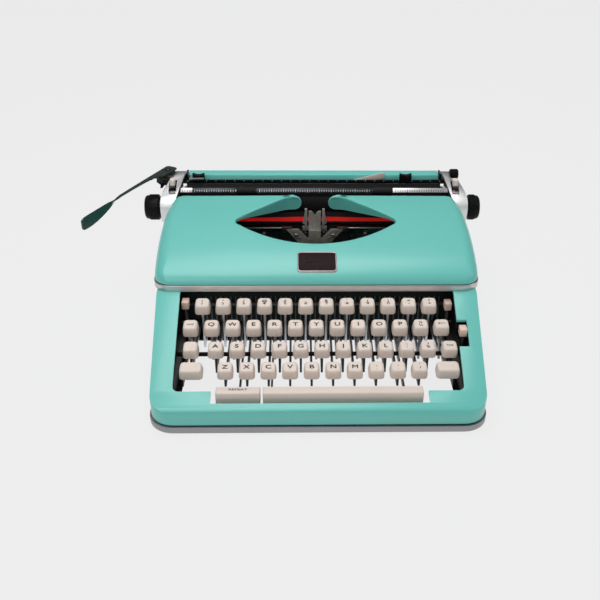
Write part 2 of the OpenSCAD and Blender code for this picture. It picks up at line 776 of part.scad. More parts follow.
module knob(x, l) {
    difference() {
        union() {
            x_rod(knob_r - 2, x, x + 3, platen_y, platen_z);
            x_rod(knob_r, x + 3, x + l - 2, platen_y, platen_z);
            translate([x + l - 2, platen_y, platen_z]) rotate([0, 90, 0])
                cylinder(r1 = knob_r, r2 = knob_r - 2, h = 2);
        }
        x_rod(shaft_r, x - 1, x + l - 4, platen_y, platen_z);
        for (a = [0:15:345]) x_rod(0.7, x + 4, x + l - 2.5, platen_y + knob_r*cos(a), platen_z + knob_r*sin(a));
    }
}

module platen_knobs() place() color(black) {
    knob(end_out + gap, right_knob_l);
    mirror([1, 0, 0]) knob(end_out + gap, left_knob_l);
}

module paper_table() place() color(mint) difference() {
    along_x([[160.5, beam_z + beam_t], [162, beam_z + beam_t], [162, 100], [165, 110.8], [173.6, 111.7],
        [174.5, 110.8], [174.5, 78], [back + 8, 78], [back + 8, 111.4], [174.2, 113.2], [163.4, 112.2],
        [160.5, 100.5]], -table_w/2, table_w/2);
    y_rod(1.5 + pin_play, arm_x, 159, 163, arm_z);
}

pan_r = platen_r + 1.8;
pan_half = 137.5;

module paper_pan() place() color(black) difference() {
    along_x(concat(
        arc([platen_y, platen_z], pan_r, -38, 50, 11),
        [[151, 107.6], [151.5, 106.6]],
        arc([platen_y, platen_z], pan_r + 1, 46, -38, 11)), -plate_in, plate_in);
    // its top is shorter, clear of the bail arms
    both_sides() slab(pan_half, plate_in + 1, platen_y, beam_back, bail_pivot[1] - 7, cover_top);
}

module feed_rollers() place() color(black)
    for (s = [-1, 1]) {
        x_rod(feed_axle_r, -end_in, end_in, feed_y(s), feed_z);
        for (x = [-102:68:102]) x_rod(feed_r, x - 24, x + 24, feed_y(s), feed_z);
    }

tooth_pitch = 2.54;

module margin_rail() place() color(steel) difference() {
    slab(-plate_in, plate_in, margin_y, margin_y + margin_t, margin_z, margin_z + margin_h);
    for (n = [-50:50]) translate([n*tooth_pitch, margin_y - 1, margin_z + margin_h]) rotate([0, 45, 0])
        cube([1.1, margin_t + 2, 1.1], center = false);
}

stop_l = 13;
stop_half_y = margin_t/2 + gap + 1.4;

// A margin stop that straddles its rail, with a dished thumb rest
module margin_stop(x) {
    difference() {
        slab(x - stop_l/2, x + stop_l/2, margin_y + margin_t/2 - stop_half_y,
            margin_y + margin_t/2 + stop_half_y, margin_z + 0.5, 117.5);
        slab(x - stop_l, x + stop_l, margin_y - gap, margin_y + margin_t + gap, 0, margin_z + margin_h + gap);
        y_rod(12, x, margin_y - 9, margin_y + 9, 128.1);
    }
}

module margin_stop_left() place() color(black) margin_stop(-125.2);

module margin_stop_right() place() color(black) margin_stop(99.5);

bail_tilt = 42;

// One stretch of the bail's scale, in front of its rod
module scale_strip(x0, x1) {
    translate([0, bail_y, bail_z]) rotate([-bail_tilt, 0, 0]) slab(x0, x1, -1.9, -0.9, -2.4, 2.4);
}

module paper_bail() place() color(silver) {
    x_rod(1.2, -142.5, 142.5, bail_y, bail_z);
    both_sides() scale_strip(bail_roller_x + bail_roller_l/2 + 0.5, 142);
    scale_strip(-bail_roller_x + bail_roller_l/2 + 0.5, bail_roller_x - bail_roller_l/2 - 0.5);
    both_sides() along_x([[bail_y - 2, bail_z - 1.5], [bail_pivot[0] + 1, bail_pivot[1] - 2.5],
        [bail_pivot[0] + 2.5, bail_pivot[1] + 1], [bail_y + 1, bail_z + 2], [bail_y - 2, bail_z + 1]], 138, 140);
    both_sides() x_rod(1.5, 139, end_in, bail_pivot[0], bail_pivot[1]);
}

module bail_rollers() place() color(black)
    for (x = [-bail_roller_x, bail_roller_x])
        difference() {
            x_rod(bail_roller_r, x - bail_roller_l/2, x + bail_roller_l/2, bail_y, bail_z);
            x_rod(1.3, x - bail_roller_l, x + bail_roller_l, bail_y, bail_z);
        }

module return_lever() place() color(steel) {
    translate([return_pivot[0], return_pivot[1], 0]) {
        translate([0, 0, return_pin_z]) cylinder(r = return_pin_r, h = return_top - return_pin_z);
        translate([0, 0, end_top + gap]) cylinder(r = 6, h = return_top - return_t - end_top - gap);
        rotate([0, 0, -return_angle]) {
            // flat inner half, narrowing to the twist
            translate([0, 0, return_top - return_t]) linear_extrude(return_t)
                polygon([[-7, return_tail], [7, return_tail], [7, -10], [3, -60], [return_t/2, -88], [-return_t/2, -88]]);
            // upright outer half that the hand pushes
            along_x([[-76, return_top], [-76, return_top - 3], [-100, return_top - 9],
                [return_tail - return_l + 10, return_top - 13], [return_tail - return_l, return_top - 10],
                [return_tail - return_l, return_top - 1], [return_tail - return_l + 2, return_top]],
                -return_t/2, return_t/2);
        }
    }
}

release_top = 117;

module carriage_release_levers() place() color(cream) {
    x_rod(1.5, -release_x, release_x, release_pivot[0], release_pivot[1]);
    both_sides() along_x([[release_pivot[0] - 3, release_pivot[1] - 2], [release_pivot[0] + 2, release_pivot[1] - 2],
        [release_pivot[0] + 2, release_pivot[1] + 2], [144, 110], [144, release_top], [137, release_top],
        [136, 109]], release_x - 2.5, release_x - 0.5);
    both_sides() along_x([[136, 109], [138, 106.5], [144, 106.5], [144, release_top], [137, release_top]],
        release_x - 2.5, release_x + 2.5);
}

module paper_release_lever() place() color(black) {
    x_rod(1.5, plate_in, release_x + 4, paper_release_pivot[0], paper_release_pivot[1]);
    along_x([[paper_release_pivot[0] - 2.5, paper_release_pivot[1] - 3],
        [paper_release_pivot[0] + 2.5, paper_release_pivot[1] - 3], [162.5, 112], [161.5, 119], [156, 120],
        [153.5, 117.5], [154.5, 114]], release_x - 1.5, release_x + 4);
}

arm_x = 46;
arm_z = 106;
arm_y = margin_y + margin_t/2 + stop_half_y + gap;

module paper_support_arm() place() color(cream) {
    along_y(concat([[arm_x - 3, arm_z - 3], [arm_x + 2, arm_z - 4]],
        arc([arm_x + 28.5, arm_z + 8], 3.4, -75, 105, 6), [[arm_x - 3, arm_z + 3]]), arm_y, arm_y + 1);
    y_rod(1.5, arm_x, arm_y + 1, 162, arm_z);
}

// ---- Keyboard ----

// A tapered keycap with rounded corners, its top tilted to the typist; x, y, z is the middle of its top
module keycap(x, y, z, w, d) {
    translate([x, y, z]) rotate([cap_tilt, 0, 0]) intersection() {
        translate([0, 0, -cap_h]) linear_extrude(cap_h) polygon(concat(
            arc([3 - w/2, 3 - d/2], 3, 180, 270, 4), arc([w/2 - 3, 3 - d/2], 3, 270, 360, 4),
            arc([w/2 - 3, d/2 - 3], 3, 0, 90, 4), arc([3 - w/2, d/2 - 3], 3, 90, 180, 4)));
        along_x([[-d/2, -cap_h], [d/2, -cap_h], [d/2, -cap_h + 2], [d/2 - 1.6, -0.6], [d/2 - 2.4, 0],
            [2.2 - d/2, 0], [1.4 - d/2, -0.6], [-d/2, -cap_h + 3]], -w, w);
        along_y([[-w/2, -cap_h], [w/2, -cap_h], [w/2, -cap_h + 2], [w/2 - 1.2, -0.6], [w/2 - 2, 0],
            [2 - w/2, 0], [1.2 - w/2, -0.6], [-w/2, -cap_h + 2]], -d, d);
    }
}

stem_w = 6;

// A key lever: bored at its fulcrum, running forward, with a stem up into its cap
module key_lever(x, y, z, pivot_y, pivot_z, h) {
    top = z - cap_h + 1.5;
    difference() {
        union() {
            along_x([[y - stem_w/2, pivot_z - h/2], [pivot_y + h/2 + 1, pivot_z - h/2],
                [pivot_y + h/2 + 1, pivot_z + h/2], [y + stem_w/2 + 3, pivot_z + h/2],
                [y + stem_w/2, pivot_z + h/2 + 3], [y + stem_w/2, top], [y - stem_w/2, top]],
                x - lever_t/2, x + lever_t/2);
        }
        x_rod(rod_r + pin_play, x - lever_t, x + lever_t, pivot_y, pivot_z);
    }
}

// Cap and lever of one key; the lever may stand off from the cap's middle
module key(x, y, z, w = cap_w, d = cap_d, lever_off = 0) {
    color(cream) difference() {
        keycap(x, y, z, w, d);
        slab(x + lever_off - lever_t/2, x + lever_off + lever_t/2, y - stem_w/2, y + stem_w/2, 0, z - cap_h + 1.5);
    }
    color(steel) key_lever(x + lever_off, y, z, fulcrum_y, lever_z, lever_h);
}

function in_row(c) = c < 10 ? [[0, c], [1, c], [2, c], [3, c]] : [[0, 10], [0, 11], [1, 10], [2, 10]];

// The four keys of one finger column, numbered from 0 at the left
module keys_column(c) place()
    for (k = in_row(c)) key(key_x(k[0], k[1]), row_y(k[0]), row_z(k[0]));

edge_lever = 119.9;

module shift_keys() place() {
    key(-111.9, row_y(3), row_z(3), 20.5, cap_d, 111.9 - edge_lever);
    key(114.1, row_y(3), row_z(3), 20.5, cap_d, edge_lever - 114.1);
    color(steel) slab(-edge_lever + lever_t/2, edge_lever - lever_t/2, 63, 68, lever_z - 12, lever_z - 7.5);
    color(steel) both_sides() slab(edge_lever - lever_t/2, edge_lever + lever_t/2, 60, 71, lever_z - 12, lever_z);
}

module shift_lock_key() place() key(-113.7, row_y(2), row_z(2));

module margin_release_key() place() key(-115.25, row_y(1), row_z(1), cap_w, cap_d, -1.4);

module backspace_key() place() key(112.75, row_y(1), row_z(1));

module tab_key() place() key(118, row_y(2), row_z(2), cap_w, cap_d, -1.8);

// Bar keys lie low at the front on levers under the others
module bar_key(x, l, levers) {
    color(cream) translate([x, space_y, 0]) intersection() {
        along_x([[-space_d/2, space_top - space_h], [space_d/2 - 1, space_top - space_h],
            [space_d/2, space_top - 5], [space_d/2 - 2, space_top], [2.5 - space_d/2, space_top],
            [1 - space_d/2, space_top - 1.5]], -l/2, l/2);
        along_y([[-l/2, 0], [l/2, 0], [l/2, space_top - 2], [l/2 - 1.5, space_top], [1.5 - l/2, space_top],
            [-l/2, space_top - 2]], -space_d, space_d);
    }
    color(steel) for (p = levers) difference() {
        along_x([[space_y - 3, space_pivot_z - 2.5], [space_pivot_y + 4, space_pivot_z - 2.5],
            [space_pivot_y + 4, space_pivot_z + 3.5], [space_y + 6, space_pivot_z + 3.5],
            [space_y + 3, space_top - space_h], [space_y - 3, space_top - space_h]], p - 0.8, p + 0.8);
        x_rod(rod_r + pin_play, p - 2, p + 2, space_pivot_y, space_pivot_z);
    }
}

// x midway between two key levers
function between(n) = lever_x(n) + key_pitch/8;

module space_bar() place() bar_key(space_x, space_l, [between(13), between(38)]);

module repeat_key() place() bar_key(repeat_x, repeat_l, [between(7)]);

// A small lever on a pin in the side plate, with a plastic tip
module selector(x, y, pin_z, tip_z, side) {
    color(cream) slab(x - 3.4, x + 3.4, y - 4.5, y + 4.5, tip_z - 8, tip_z);
    color(steel) slab(x - 1, x + 1, y - 3, y + 3, pin_z - 3, tip_z - 8);
    color(steel) x_rod(1.5 - gap, min(x, side), max(x, side), y, pin_z);
}

module selector_lever_left() place() selector(-122.5, selector_y, selector_z, 68, -side_in - side_t);

module selector_lever_right() place() selector(122.5, selector_y, selector_z, 66, side_in + side_t);

module selector_lever_side() place()
    selector(132, side_selector_y, side_selector_z, 59, side_in);

rubber_feet();
base_tray();
bottom_pan();
lower_shell();
cover_trim();
ribbon_cover();
badge_plate();
chassis_frame();
key_comb();
key_rods();
type_segment();
type_bars();
active_type_bar();
type_guide();
ribbon_vibrator();
ribbon();
ribbon_spool_left();
ribbon_spool_right();
carriage_rail();
mainspring_drum();
escapement_wheel();
margin_bell();
carriage_frame();
end_cover_left();
end_cover_right();
platen();
platen_knobs();
paper_table();
paper_pan();
feed_rollers();
margin_rail();
margin_stop_left();
margin_stop_right();
paper_bail();
bail_rollers();
return_lever();
carriage_release_levers();
paper_release_lever();
paper_support_arm();
space_bar();
repeat_key();
shift_keys();
shift_lock_key();
margin_release_key();
backspace_key();
tab_key();
selector_lever_left();
selector_lever_right();
selector_lever_side();
keys_column(0);  // keys_column_01
keys_column(1);  // keys_column_02
keys_column(2);  // keys_column_03
keys_column(3);  // keys_column_04
keys_column(4);  // keys_column_05
keys_column(5);  // keys_column_06
keys_column(6);  // keys_column_07
keys_column(7);  // keys_column_08
keys_column(8);  // keys_column_09
keys_column(9);  // keys_column_10
keys_column(10);  // keys_column_11
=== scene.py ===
"""Looks of a portable manual typewriter, built around its packed frame.

Lengths are in millimetres about the middle of the machine until placed() turns them into the frame's metres.
"""

import json
import math

import bmesh
import bpy
import numpy as np
from bpy.props import FloatProperty, FloatVectorProperty, IntProperty, PointerProperty, StringProperty
from mathutils import Matrix, Vector

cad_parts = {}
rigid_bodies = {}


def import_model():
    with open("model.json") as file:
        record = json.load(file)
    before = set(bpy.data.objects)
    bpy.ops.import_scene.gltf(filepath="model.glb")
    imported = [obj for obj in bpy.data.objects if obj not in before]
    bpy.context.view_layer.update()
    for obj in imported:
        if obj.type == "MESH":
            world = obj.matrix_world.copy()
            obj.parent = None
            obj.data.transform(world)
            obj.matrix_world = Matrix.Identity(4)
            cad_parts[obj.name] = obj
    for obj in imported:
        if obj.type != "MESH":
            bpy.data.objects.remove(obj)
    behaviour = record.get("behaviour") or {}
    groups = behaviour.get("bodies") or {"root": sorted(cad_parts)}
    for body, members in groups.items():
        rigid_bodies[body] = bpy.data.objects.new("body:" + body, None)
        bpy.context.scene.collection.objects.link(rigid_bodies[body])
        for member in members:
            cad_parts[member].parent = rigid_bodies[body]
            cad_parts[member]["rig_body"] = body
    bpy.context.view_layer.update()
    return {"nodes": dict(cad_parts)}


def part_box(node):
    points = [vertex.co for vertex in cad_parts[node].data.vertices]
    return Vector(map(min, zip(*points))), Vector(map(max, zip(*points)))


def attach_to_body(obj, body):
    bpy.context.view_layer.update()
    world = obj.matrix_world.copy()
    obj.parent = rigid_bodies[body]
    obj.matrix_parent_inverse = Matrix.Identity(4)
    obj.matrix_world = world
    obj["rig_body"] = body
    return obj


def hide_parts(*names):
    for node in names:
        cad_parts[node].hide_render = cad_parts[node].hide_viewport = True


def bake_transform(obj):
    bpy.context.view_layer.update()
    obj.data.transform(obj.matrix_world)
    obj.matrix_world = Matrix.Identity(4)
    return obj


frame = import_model()

bl_info = {
    "name": "Portable typewriter",
    "version": (1, 0, 0),
    "blender": (4, 5, 0),
    "location": "3D View > Sidebar > Typewriter",
    "description": "Casing, keys, type works and carriage of a portable manual typewriter",
    "category": "Object",
}

# ---- Sizes shared by the pieces, in millimetres ----

MIDDLE_X = sum(corner[0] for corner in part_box("ribbon_cover")) * 500
MIDDLE_Y = sum(corner[1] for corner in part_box("ribbon_cover")) * 500 - 44
GAP = 0.3
COVER_FRONT, COVER_BACK, COVER_BASE, COVER_TOP = -24.0, 112.0, 81.7, 111.7
COVER_HALF, COVER_CORNER, COVER_ROUND = 152.0, 16.0, 12.0
BACK_ROUND, BACK_LOW, ARM_TIP = 4.0, 96.9, 7.3
EYE_HALF, EYE_CORNER, EYE_FRONT, TIP_HALF = 78.5, 58.0, 20.0, 14.0
TRIM_BASE, TRIM_TOP = 75.0, 81.2
PLATEN_Y, PLATEN_Z = 132.0, 88.5
END_IN, END_OUT = 146.5, 162.8
BAIL_Y, BAIL_Z, BAIL_TILT = 129.5, 108.55, 42.0
ROLLER_X, ROLLER_L, ROLLER_R = 72.5, 21.0, 3.4
RETURN_X, RETURN_Y, RETURN_TOP, RETURN_TURN = -158.0, 156.0, 121.6, 26.2
KEY_PITCH, CAP_W, CAP_D, CAP_H, CAP_TILT = 19.0, 14.0, 14.0, 9.4, 10.0
ROW_X = (-105.75, -96.25, -91.5, -82.0)
ROW_DROP = (0.0, 10.6, 20.4, 28.4)
FIRST_ROW_Y, ROW_PITCH, TOP_ROW_Z = -38.0, 20.6, 71.7
FULCRUM_Y, LEVER_Z, LEVER_T, LEVER_H = 85.0, 27.0, 2.0, 7.0
BAR_PIVOT_Y, BAR_PIVOT_Z, BAR_Y, BAR_TOP = 20.0, 14.5, -119.0, 32.5
SEGMENT_R, PRINT_Z, TYPE_BARS, BAR_STEP, BAR_L, BAR_END_Y = 52.0, 90.0, 44, 2.75, 54.0, 98.0
RIBBON_Z, RIBBON_W, RIBBON_Y, RIBBON_TURN = 80.5, 13.0, 109.4, (84.0, 106.0)
SPOOL_X, SPOOL_Y, SPOOL_R, SPOOL_Z = 95.0, 62.0, 23.0, 79.0


def placed(point):
    """A point of the machine in the frame's metres."""
    return ((point[0] + MIDDLE_X) / 1000, (point[1] + MIDDLE_Y) / 1000, point[2] / 1000)


def row_y(row):
    return FIRST_ROW_Y - ROW_PITCH * row


def row_z(row):
    return TOP_ROW_Z - ROW_DROP[row]


def curve(a, b, c, d, steps):
    """Points of a cubic curve, both ends included."""
    found = []
    for i in range(steps + 1):
        t = i / steps
        s = 1 - t
        shares = s**3, 3 * s * s * t, 3 * s * t * t, t**3
        found.append(tuple(sum(share * p for share, p in zip(shares, axis)) for axis in zip(a, b, c, d)))
    return found


def clamped(value):
    return max(0.0, min(1.0, value))


def eased(value):
    """From 0 to 1 with a slow start and a slow end."""
    t = clamped(value)
    return t * t * (3 - 2 * t)


def arc(x, y, radius, start, end, steps):
    angles = [math.radians(start + (end - start) * i / steps) for i in range(steps + 1)]
    return [(x + radius * math.cos(a), y + radius * math.sin(a)) for a in angles]


def rounded_outline(half_x, half_y, radius, steps=6):
    """Anticlockwise outline of a rounded rectangle about the origin."""
    radius = min(radius, half_x - 0.01, half_y - 0.01)
    x, y = half_x - radius, half_y - radius
    return (arc(-x, -y, radius, 180, 270, steps) + arc(x, -y, radius, 270, 360, steps)
            + arc(x, y, radius, 0, 90, steps) + arc(-x, y, radius, 90, 180, steps))


def filled(outline, pieces=12):
    """The outline with every long side cut into equal pieces."""
    found = []
    for a, b in zip(outline, outline[1:] + outline[:1]):
        cuts = pieces if math.dist(a, b) > 2.5 else 1
        found += [(a[0] + (b[0] - a[0]) * i / cuts, a[1] + (b[1] - a[1]) * i / cuts) for i in range(cuts)]
    return found


# ---- Meshes ----


def linked(name, data):
    """A new object of the scene."""
    piece = bpy.data.objects.new(name, data)
    bpy.context.scene.collection.objects.link(piece)
    return piece


class Shape:
    """Faces gathered in millimetres, each with the number of its finish."""

    def __init__(self):
        self.points, self.faces, self.finishes = [], [], []

    def add(self, points, faces, finish=0):
        first = len(self.points)
        self.points += [tuple(p) for p in points]
        self.faces += [[first + i for i in face] for face in faces]
        self.finishes += [finish] * len(faces)

    def loft(self, rings, finish=0, ends=True):
        """Skins a row of closed outlines that have the same number of points."""
        n = len(rings[0])
        faces = []
        for k in range(len(rings) - 1):
            for i in range(n):
                j = (i + 1) % n
                faces.append([k * n + i, k * n + j, (k + 1) * n + j, (k + 1) * n + i])
        if ends:
            faces.append(list(range(n))[::-1])
            faces.append([(len(rings) - 1) * n + i for i in range(n)])
        self.add([p for ring in rings for p in ring], faces, finish)

    def prism(self, outline, axis, low, high, finish=0):
        """Sweeps an outline along x, y or z; it is drawn in the two other axes, in their order."""
        if axis == "x":
            rings = [[(v, a, b) for a, b in outline] for v in (low, high)]
        elif axis == "y":
            rings = [[(a, v, b) for a, b in outline] for v in (high, low)]
        else:
            rings = [[(a, b, v) for a, b in outline] for v in (low, high)]
        area = sum(p[0] * q[1] - q[0] * p[1] for p, q in zip(outline, outline[1:] + outline[:1]))
        self.loft([ring if area > 0 else ring[::-1] for ring in rings], finish)

    def block(self, x0, x1, y0, y1, z0, z1, finish=0):
        self.prism([(x0, y0), (x1, y0), (x1, y1), (x0, y1)], "z", z0, z1, finish)

    def turned(self, profile, axis, centre, steps=48, finish=0):
        """A lathe shape from (radius, place along the axis) pairs; centre holds the two other coordinates."""
        rings = []
        for radius, along in profile:
            ring = []
            for i in range(steps):
                angle = 2 * math.pi * i / steps
                a, b = centre[0] + radius * math.cos(angle), centre[1] + radius * math.sin(angle)
                ring.append({"x": (along, a, b), "y": (b, along, a), "z": (a, b, along)}[axis])
            rings.append(ring)
        if profile[0][1] > profile[-1][1]:
            rings = [ring[::-1] for ring in rings]
        self.loft(rings, finish)

    def moved(self, matrix, first=0):
        """Turns or moves the points from number first on."""
        self.points[first:] = [tuple(matrix @ Vector(p)) for p in self.points[first:]]

    def build(self, name, *finishes, bevel=0.0, segments=2, angle=35, mend=True):
        """The finished piece, with its place in its mesh."""
        mesh = bpy.data.meshes.new(name)
        mesh.from_pydata([placed(p) for p in self.points], [], self.faces)
        mesh.polygons.foreach_set("material_index", self.finishes)
        for finish in finishes:
            mesh.materials.append(FINISHES[finish])
        if mend:
            made = bmesh.new()
            made.from_mesh(mesh)
            bmesh.ops.remove_doubles(made, verts=made.verts, dist=1e-6)
            bmesh.ops.dissolve_degenerate(made, edges=made.edges, dist=1e-6)
            bmesh.ops.recalc_face_normals(made, faces=made.faces)
            made.to_mesh(mesh)
            made.free()
        piece = linked(name, mesh)
        soften(piece, bevel, segments, angle)
        return piece


def soften(piece, width=0.0, segments=2, angle=35):
    """Rounds the edges of a piece that are sharper than the angle, and shades the rest smooth."""
    piece.data.shade_smooth()
    if width:
        rounding = piece.modifiers.new("Rounded edges", "BEVEL")
        rounding.width = width / 1000
        rounding.segments = segments
        rounding.limit_method = "ANGLE"
        rounding.angle_limit = math.radians(angle)
        settle(piece)
        piece.data.shade_smooth()
    piece.data.set_sharp_from_angle(angle=math.radians(angle))


def settle(piece):
    """Turns what a piece's modifiers make into its plain mesh."""
    graph = bpy.context.evaluated_depsgraph_get()
    mesh = bpy.data.meshes.new_from_object(piece.evaluated_get(graph))
    piece.modifiers.clear()
    piece.data = mesh
    mesh.name = piece.name


def softened_copy(node, name, finish, width, segments=3, angle=32):
    """The solid of a node with its edges rounded."""
    made = bmesh.new()
    made.from_mesh(frame["nodes"][node].data)
    bmesh.ops.remove_doubles(made, verts=made.verts, dist=2e-6)
    bmesh.ops.dissolve_limit(made, angle_limit=math.radians(0.6), verts=made.verts, edges=made.edges)
    mesh = bpy.data.meshes.new(name)
    made.to_mesh(mesh)
    made.free()
    mesh.materials.clear()
    mesh.materials.append(FINISHES[finish])
    piece = linked(name, mesh)
    soften(piece, width, segments, angle)
    return attach(piece, node)


def attach(piece, *nodes, body=None, slot=None):
    """The piece rides on the nodes' body and stands for them."""
    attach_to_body(piece, body or frame["nodes"][nodes[0]]["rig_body"])
    if nodes:
        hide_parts(*nodes)
    return piece


# ---- Finishes ----


def plug(tree, socket, value):
    """Feeds a socket from another one, or sets its own value."""
    if isinstance(value, bpy.types.NodeSocket):
        tree.links.new(value, socket)
    else:
        socket.default_value = value


class Value:
    """A node's output that takes part in arithmetic."""

    def __init__(self, finish, socket):
        self.finish, self.socket = finish, socket

    def _maths(self, operation, first, second):
        return self.finish.node("ShaderNodeMath", {"operation": operation}, [first, second])

    def __add__(self, other):
        return self._maths("ADD", self, other)

    __radd__ = __add__

    def __sub__(self, other):
        return self._maths("SUBTRACT", self, other)

    def __rsub__(self, other):
        return self._maths("SUBTRACT", other, self)

    def __mul__(self, other):
        return self._maths("MULTIPLY", self, other)

    __rmul__ = __mul__

    def __gt__(self, other):
        return self._maths("GREATER_THAN", self, other)


class Finish:
    """A material and the one way its nodes are made."""

    def __init__(self, name):
        self.material = bpy.data.materials.new(name)
        self.material.use_nodes = True
        self.tree = self.material.node_tree
        self.shader = self.tree.nodes["Principled BSDF"]
        self.place = self.node("ShaderNodeTexCoord", output=3)

    def feed(self, node, inputs):
        for key, value in inputs.items() if isinstance(inputs, dict) else enumerate(inputs):
            plug(self.tree, node.inputs[key], getattr(value, "socket", value))

    def node(self, kind, settings=None, inputs=(), output=0):
        made = self.tree.nodes.new(kind)
        for key, value in (settings or {}).items():
            setattr(made, key, value)
        self.feed(made, inputs)
        return Value(self, made.outputs[output])

    def noise(self, size, detail=2.0, stretch=(1, 1, 1), shift=(0, 0, 0)):
        """Noise from 0 to 1 in lumps of about size millimetres, longer along an axis of small stretch."""
        moves = {"Vector": self.place, "Scale": stretch, "Location": shift}
        where = self.node("ShaderNodeMapping", {}, moves)
        return self.node("ShaderNodeTexNoise", {}, {"Vector": where, "Scale": 1000 / size, "Detail": detail})

    def axis(self, index):
        return self.node("ShaderNodeSeparateXYZ", {}, [self.place], index)

    def mixed(self, factor, first, second):
        ends = {0: factor, 6: colour4(first), 7: colour4(second)}
        return self.node("ShaderNodeMix", {"data_type": "RGBA"}, ends, 2)

    def done(self, colour, rough, height=None, metal=0.0, coat=0.0, depth=0.02, strength=0.5, **more):
        sockets = {"Base Color": colour4(colour), "Roughness": rough, "Metallic": metal, "Coat Weight": coat}
        sockets.update(more)
        if height is not None:
            sockets["Normal"] = self.node(
                "ShaderNodeBump", {}, {"Strength": strength, "Distance": depth / 1000, "Height": height})
        self.feed(self.shader, sockets)
        return self.material


def colour4(colour):
    return colour if isinstance(colour, Value) else (*colour[:3], 1)


def shaded(colour, share):
    return tuple(c * share for c in colour[:3])


def enamel(name, colour):
    """Baked enamel on steel: orange peel, faint cloudiness, and a little dust in the grain."""
    f = Finish(name)
    cloud, peel, dust = f.noise(60, 3), f.noise(1.6, 2), f.noise(0.5, 3)
    tone = f.mixed(cloud * 0.6 + dust * 0.25, shaded(colour, 0.95), shaded(colour, 1.05))
    return f.done(tone, 0.3 + cloud * 0.1, peel * 0.8 + dust * 0.2, coat=0.22, depth=0.03, strength=0.35,
                  **{"Coat Roughness": 0.2})


def moulded(name, colour, rough=0.42, tint=(0.86, 0.72, 0.62)):
    """Moulded plastic, a little yellowed, with fine pits and handling marks."""
    f = Finish(name)
    age, pits, rub = f.noise(18, 2), f.noise(0.35, 2), f.noise(4, 4)
    tone = f.mixed(age * 0.35, colour, tuple(c * t for c, t in zip(colour, tint)))
    tone = f.mixed((rub > 0.66) * 0.12, tone, shaded(colour, 0.7))
    return f.done(tone, rough - 0.1 * rub + 0.05, pits, depth=0.012, strength=0.4)


def brushed(name, colour, rough=0.3, along=0, metal=1.0, grain=0.5, wear=0.0, depth=0.008):
    """Metal brushed along an axis, with soft clouding of its shine."""
    f = Finish(name)
    stretch = [1.0, 1.0, 1.0]
    stretch[along] = 0.02
    lines, cloud, spots = f.noise(0.45, 3, stretch), f.noise(22, 2), f.noise(2.2, 4)
    tone = f.mixed(lines * grain + cloud * 0.3, shaded(colour, 0.78), shaded(colour, 1.12))
    if wear:
        tone = f.mixed((spots > 0.62) * wear, tone, shaded(colour, 0.35))
    shine = rough + lines * 0.12 - 0.06 + cloud * 0.08
    return f.done(tone, shine, lines, metal=metal, depth=depth, strength=0.5)


def lever_steel(name, colour):
    """Bright strip steel that darkens with old oil towards the typist."""
    f = Finish(name)
    lines, cloud, shade_edge_noise = f.noise(0.45, 3, (1, 0.02, 1)), f.noise(22, 2), f.noise(7, 3, (1, 0.4, 1))
    near, far = placed((0, -78, 0))[1], placed((0, -38, 0))[1]
    reach = f.node("ShaderNodeMapRange", {}, [f.axis(1) + (shade_edge_noise - 0.5) * 0.012, near, far, 0.0, 1.0])
    tone = f.mixed(lines * 0.4 + cloud * 0.3, shaded(colour, 0.78), shaded(colour, 1.12))
    # painted shade: near black towards the typist, with a ragged edge
    tone = f.mixed(reach, (0.020, 0.021, 0.021), tone)
    return f.done(tone, 0.46 - 0.2 * reach + lines * 0.1, lines, metal=0.35 + 0.6 * reach, depth=0.008)


def end_metal(name):
    """Brushed end covers: a satin plate whose turned-down front is polished brighter."""
    f = Finish(name)
    lines, cloud = f.noise(0.45, 3, (1, 0.02, 1)), f.noise(22, 2)
    near, far = placed((0, 122, 0))[1], placed((0, 138, 0))[1]
    reach = f.node("ShaderNodeMapRange", {}, [f.axis(1) + (cloud - 0.5) * 0.006, near, far, 0.0, 1.0])
    # painted highlight: bright towards the front, dark towards the back
    tone = f.mixed(reach, (0.92, 0.93, 0.92), (0.34, 0.335, 0.345))
    tone = f.mixed(lines * 0.35, tone, (0.52, 0.52, 0.52))
    return f.done(tone, 0.4 + lines * 0.08, lines, metal=0.55 + 0.25 * reach, depth=0.008)


def tab_finish(name, colour):
    """Cream tips on bright steel levers."""
    f = Finish(name)
    age, pits = f.noise(18, 2), f.noise(0.35, 2)
    tip = f.axis(2) > placed((0, 0, 111.2))[2]
    tone = f.mixed(age * 0.35, colour, shaded(colour, 0.82))
    tone = f.mixed(tip, (0.16, 0.16, 0.16), tone)
    return f.done(tone, 0.36 + age * 0.1, pits, metal=0.8 - 0.8 * tip, depth=0.012, strength=0.4)


def dark_coat(name, colour, rough=0.45, lump=0.9, depth=0.05, metal=0.0, coat=0.0, scuff=0.06, shine=0.15):
    """Black enamel, rubber or plastic with a fine skin and light scuffs."""
    f = Finish(name)
    skin, scuffs, cloud = f.noise(lump, 3), f.noise(5, 5, (1, 0.3, 1)), f.noise(30, 2)
    tone = f.mixed(cloud * 0.5, colour, shaded(colour, 1.5))
    tone = f.mixed((scuffs > 0.66) * scuff, tone, (0.2, 0.2, 0.19))
    return f.done(tone, rough + scuffs * 0.15 - 0.05, skin, metal=metal, coat=coat, depth=depth,
                  strength=0.45, **{"Specular IOR Level": shine})


def platen_rubber(name):
    """Hard rubber ground along its length, greyed in a fine net of type dents."""
    f = Finish(name)
    dents, lines, cloud = f.noise(0.8, 2), f.noise(0.5, 3, (0.05, 1, 1)), f.noise(14, 3)
    tone = f.mixed(cloud * 0.5 + dents * 0.2, (0.003, 0.003, 0.003), (0.010, 0.010, 0.011))
    return f.done(tone, 0.42 + cloud * 0.12, dents * 0.6 + lines * 0.4, depth=0.02, strength=0.5,
                  **{"Specular IOR Level": 0.04})


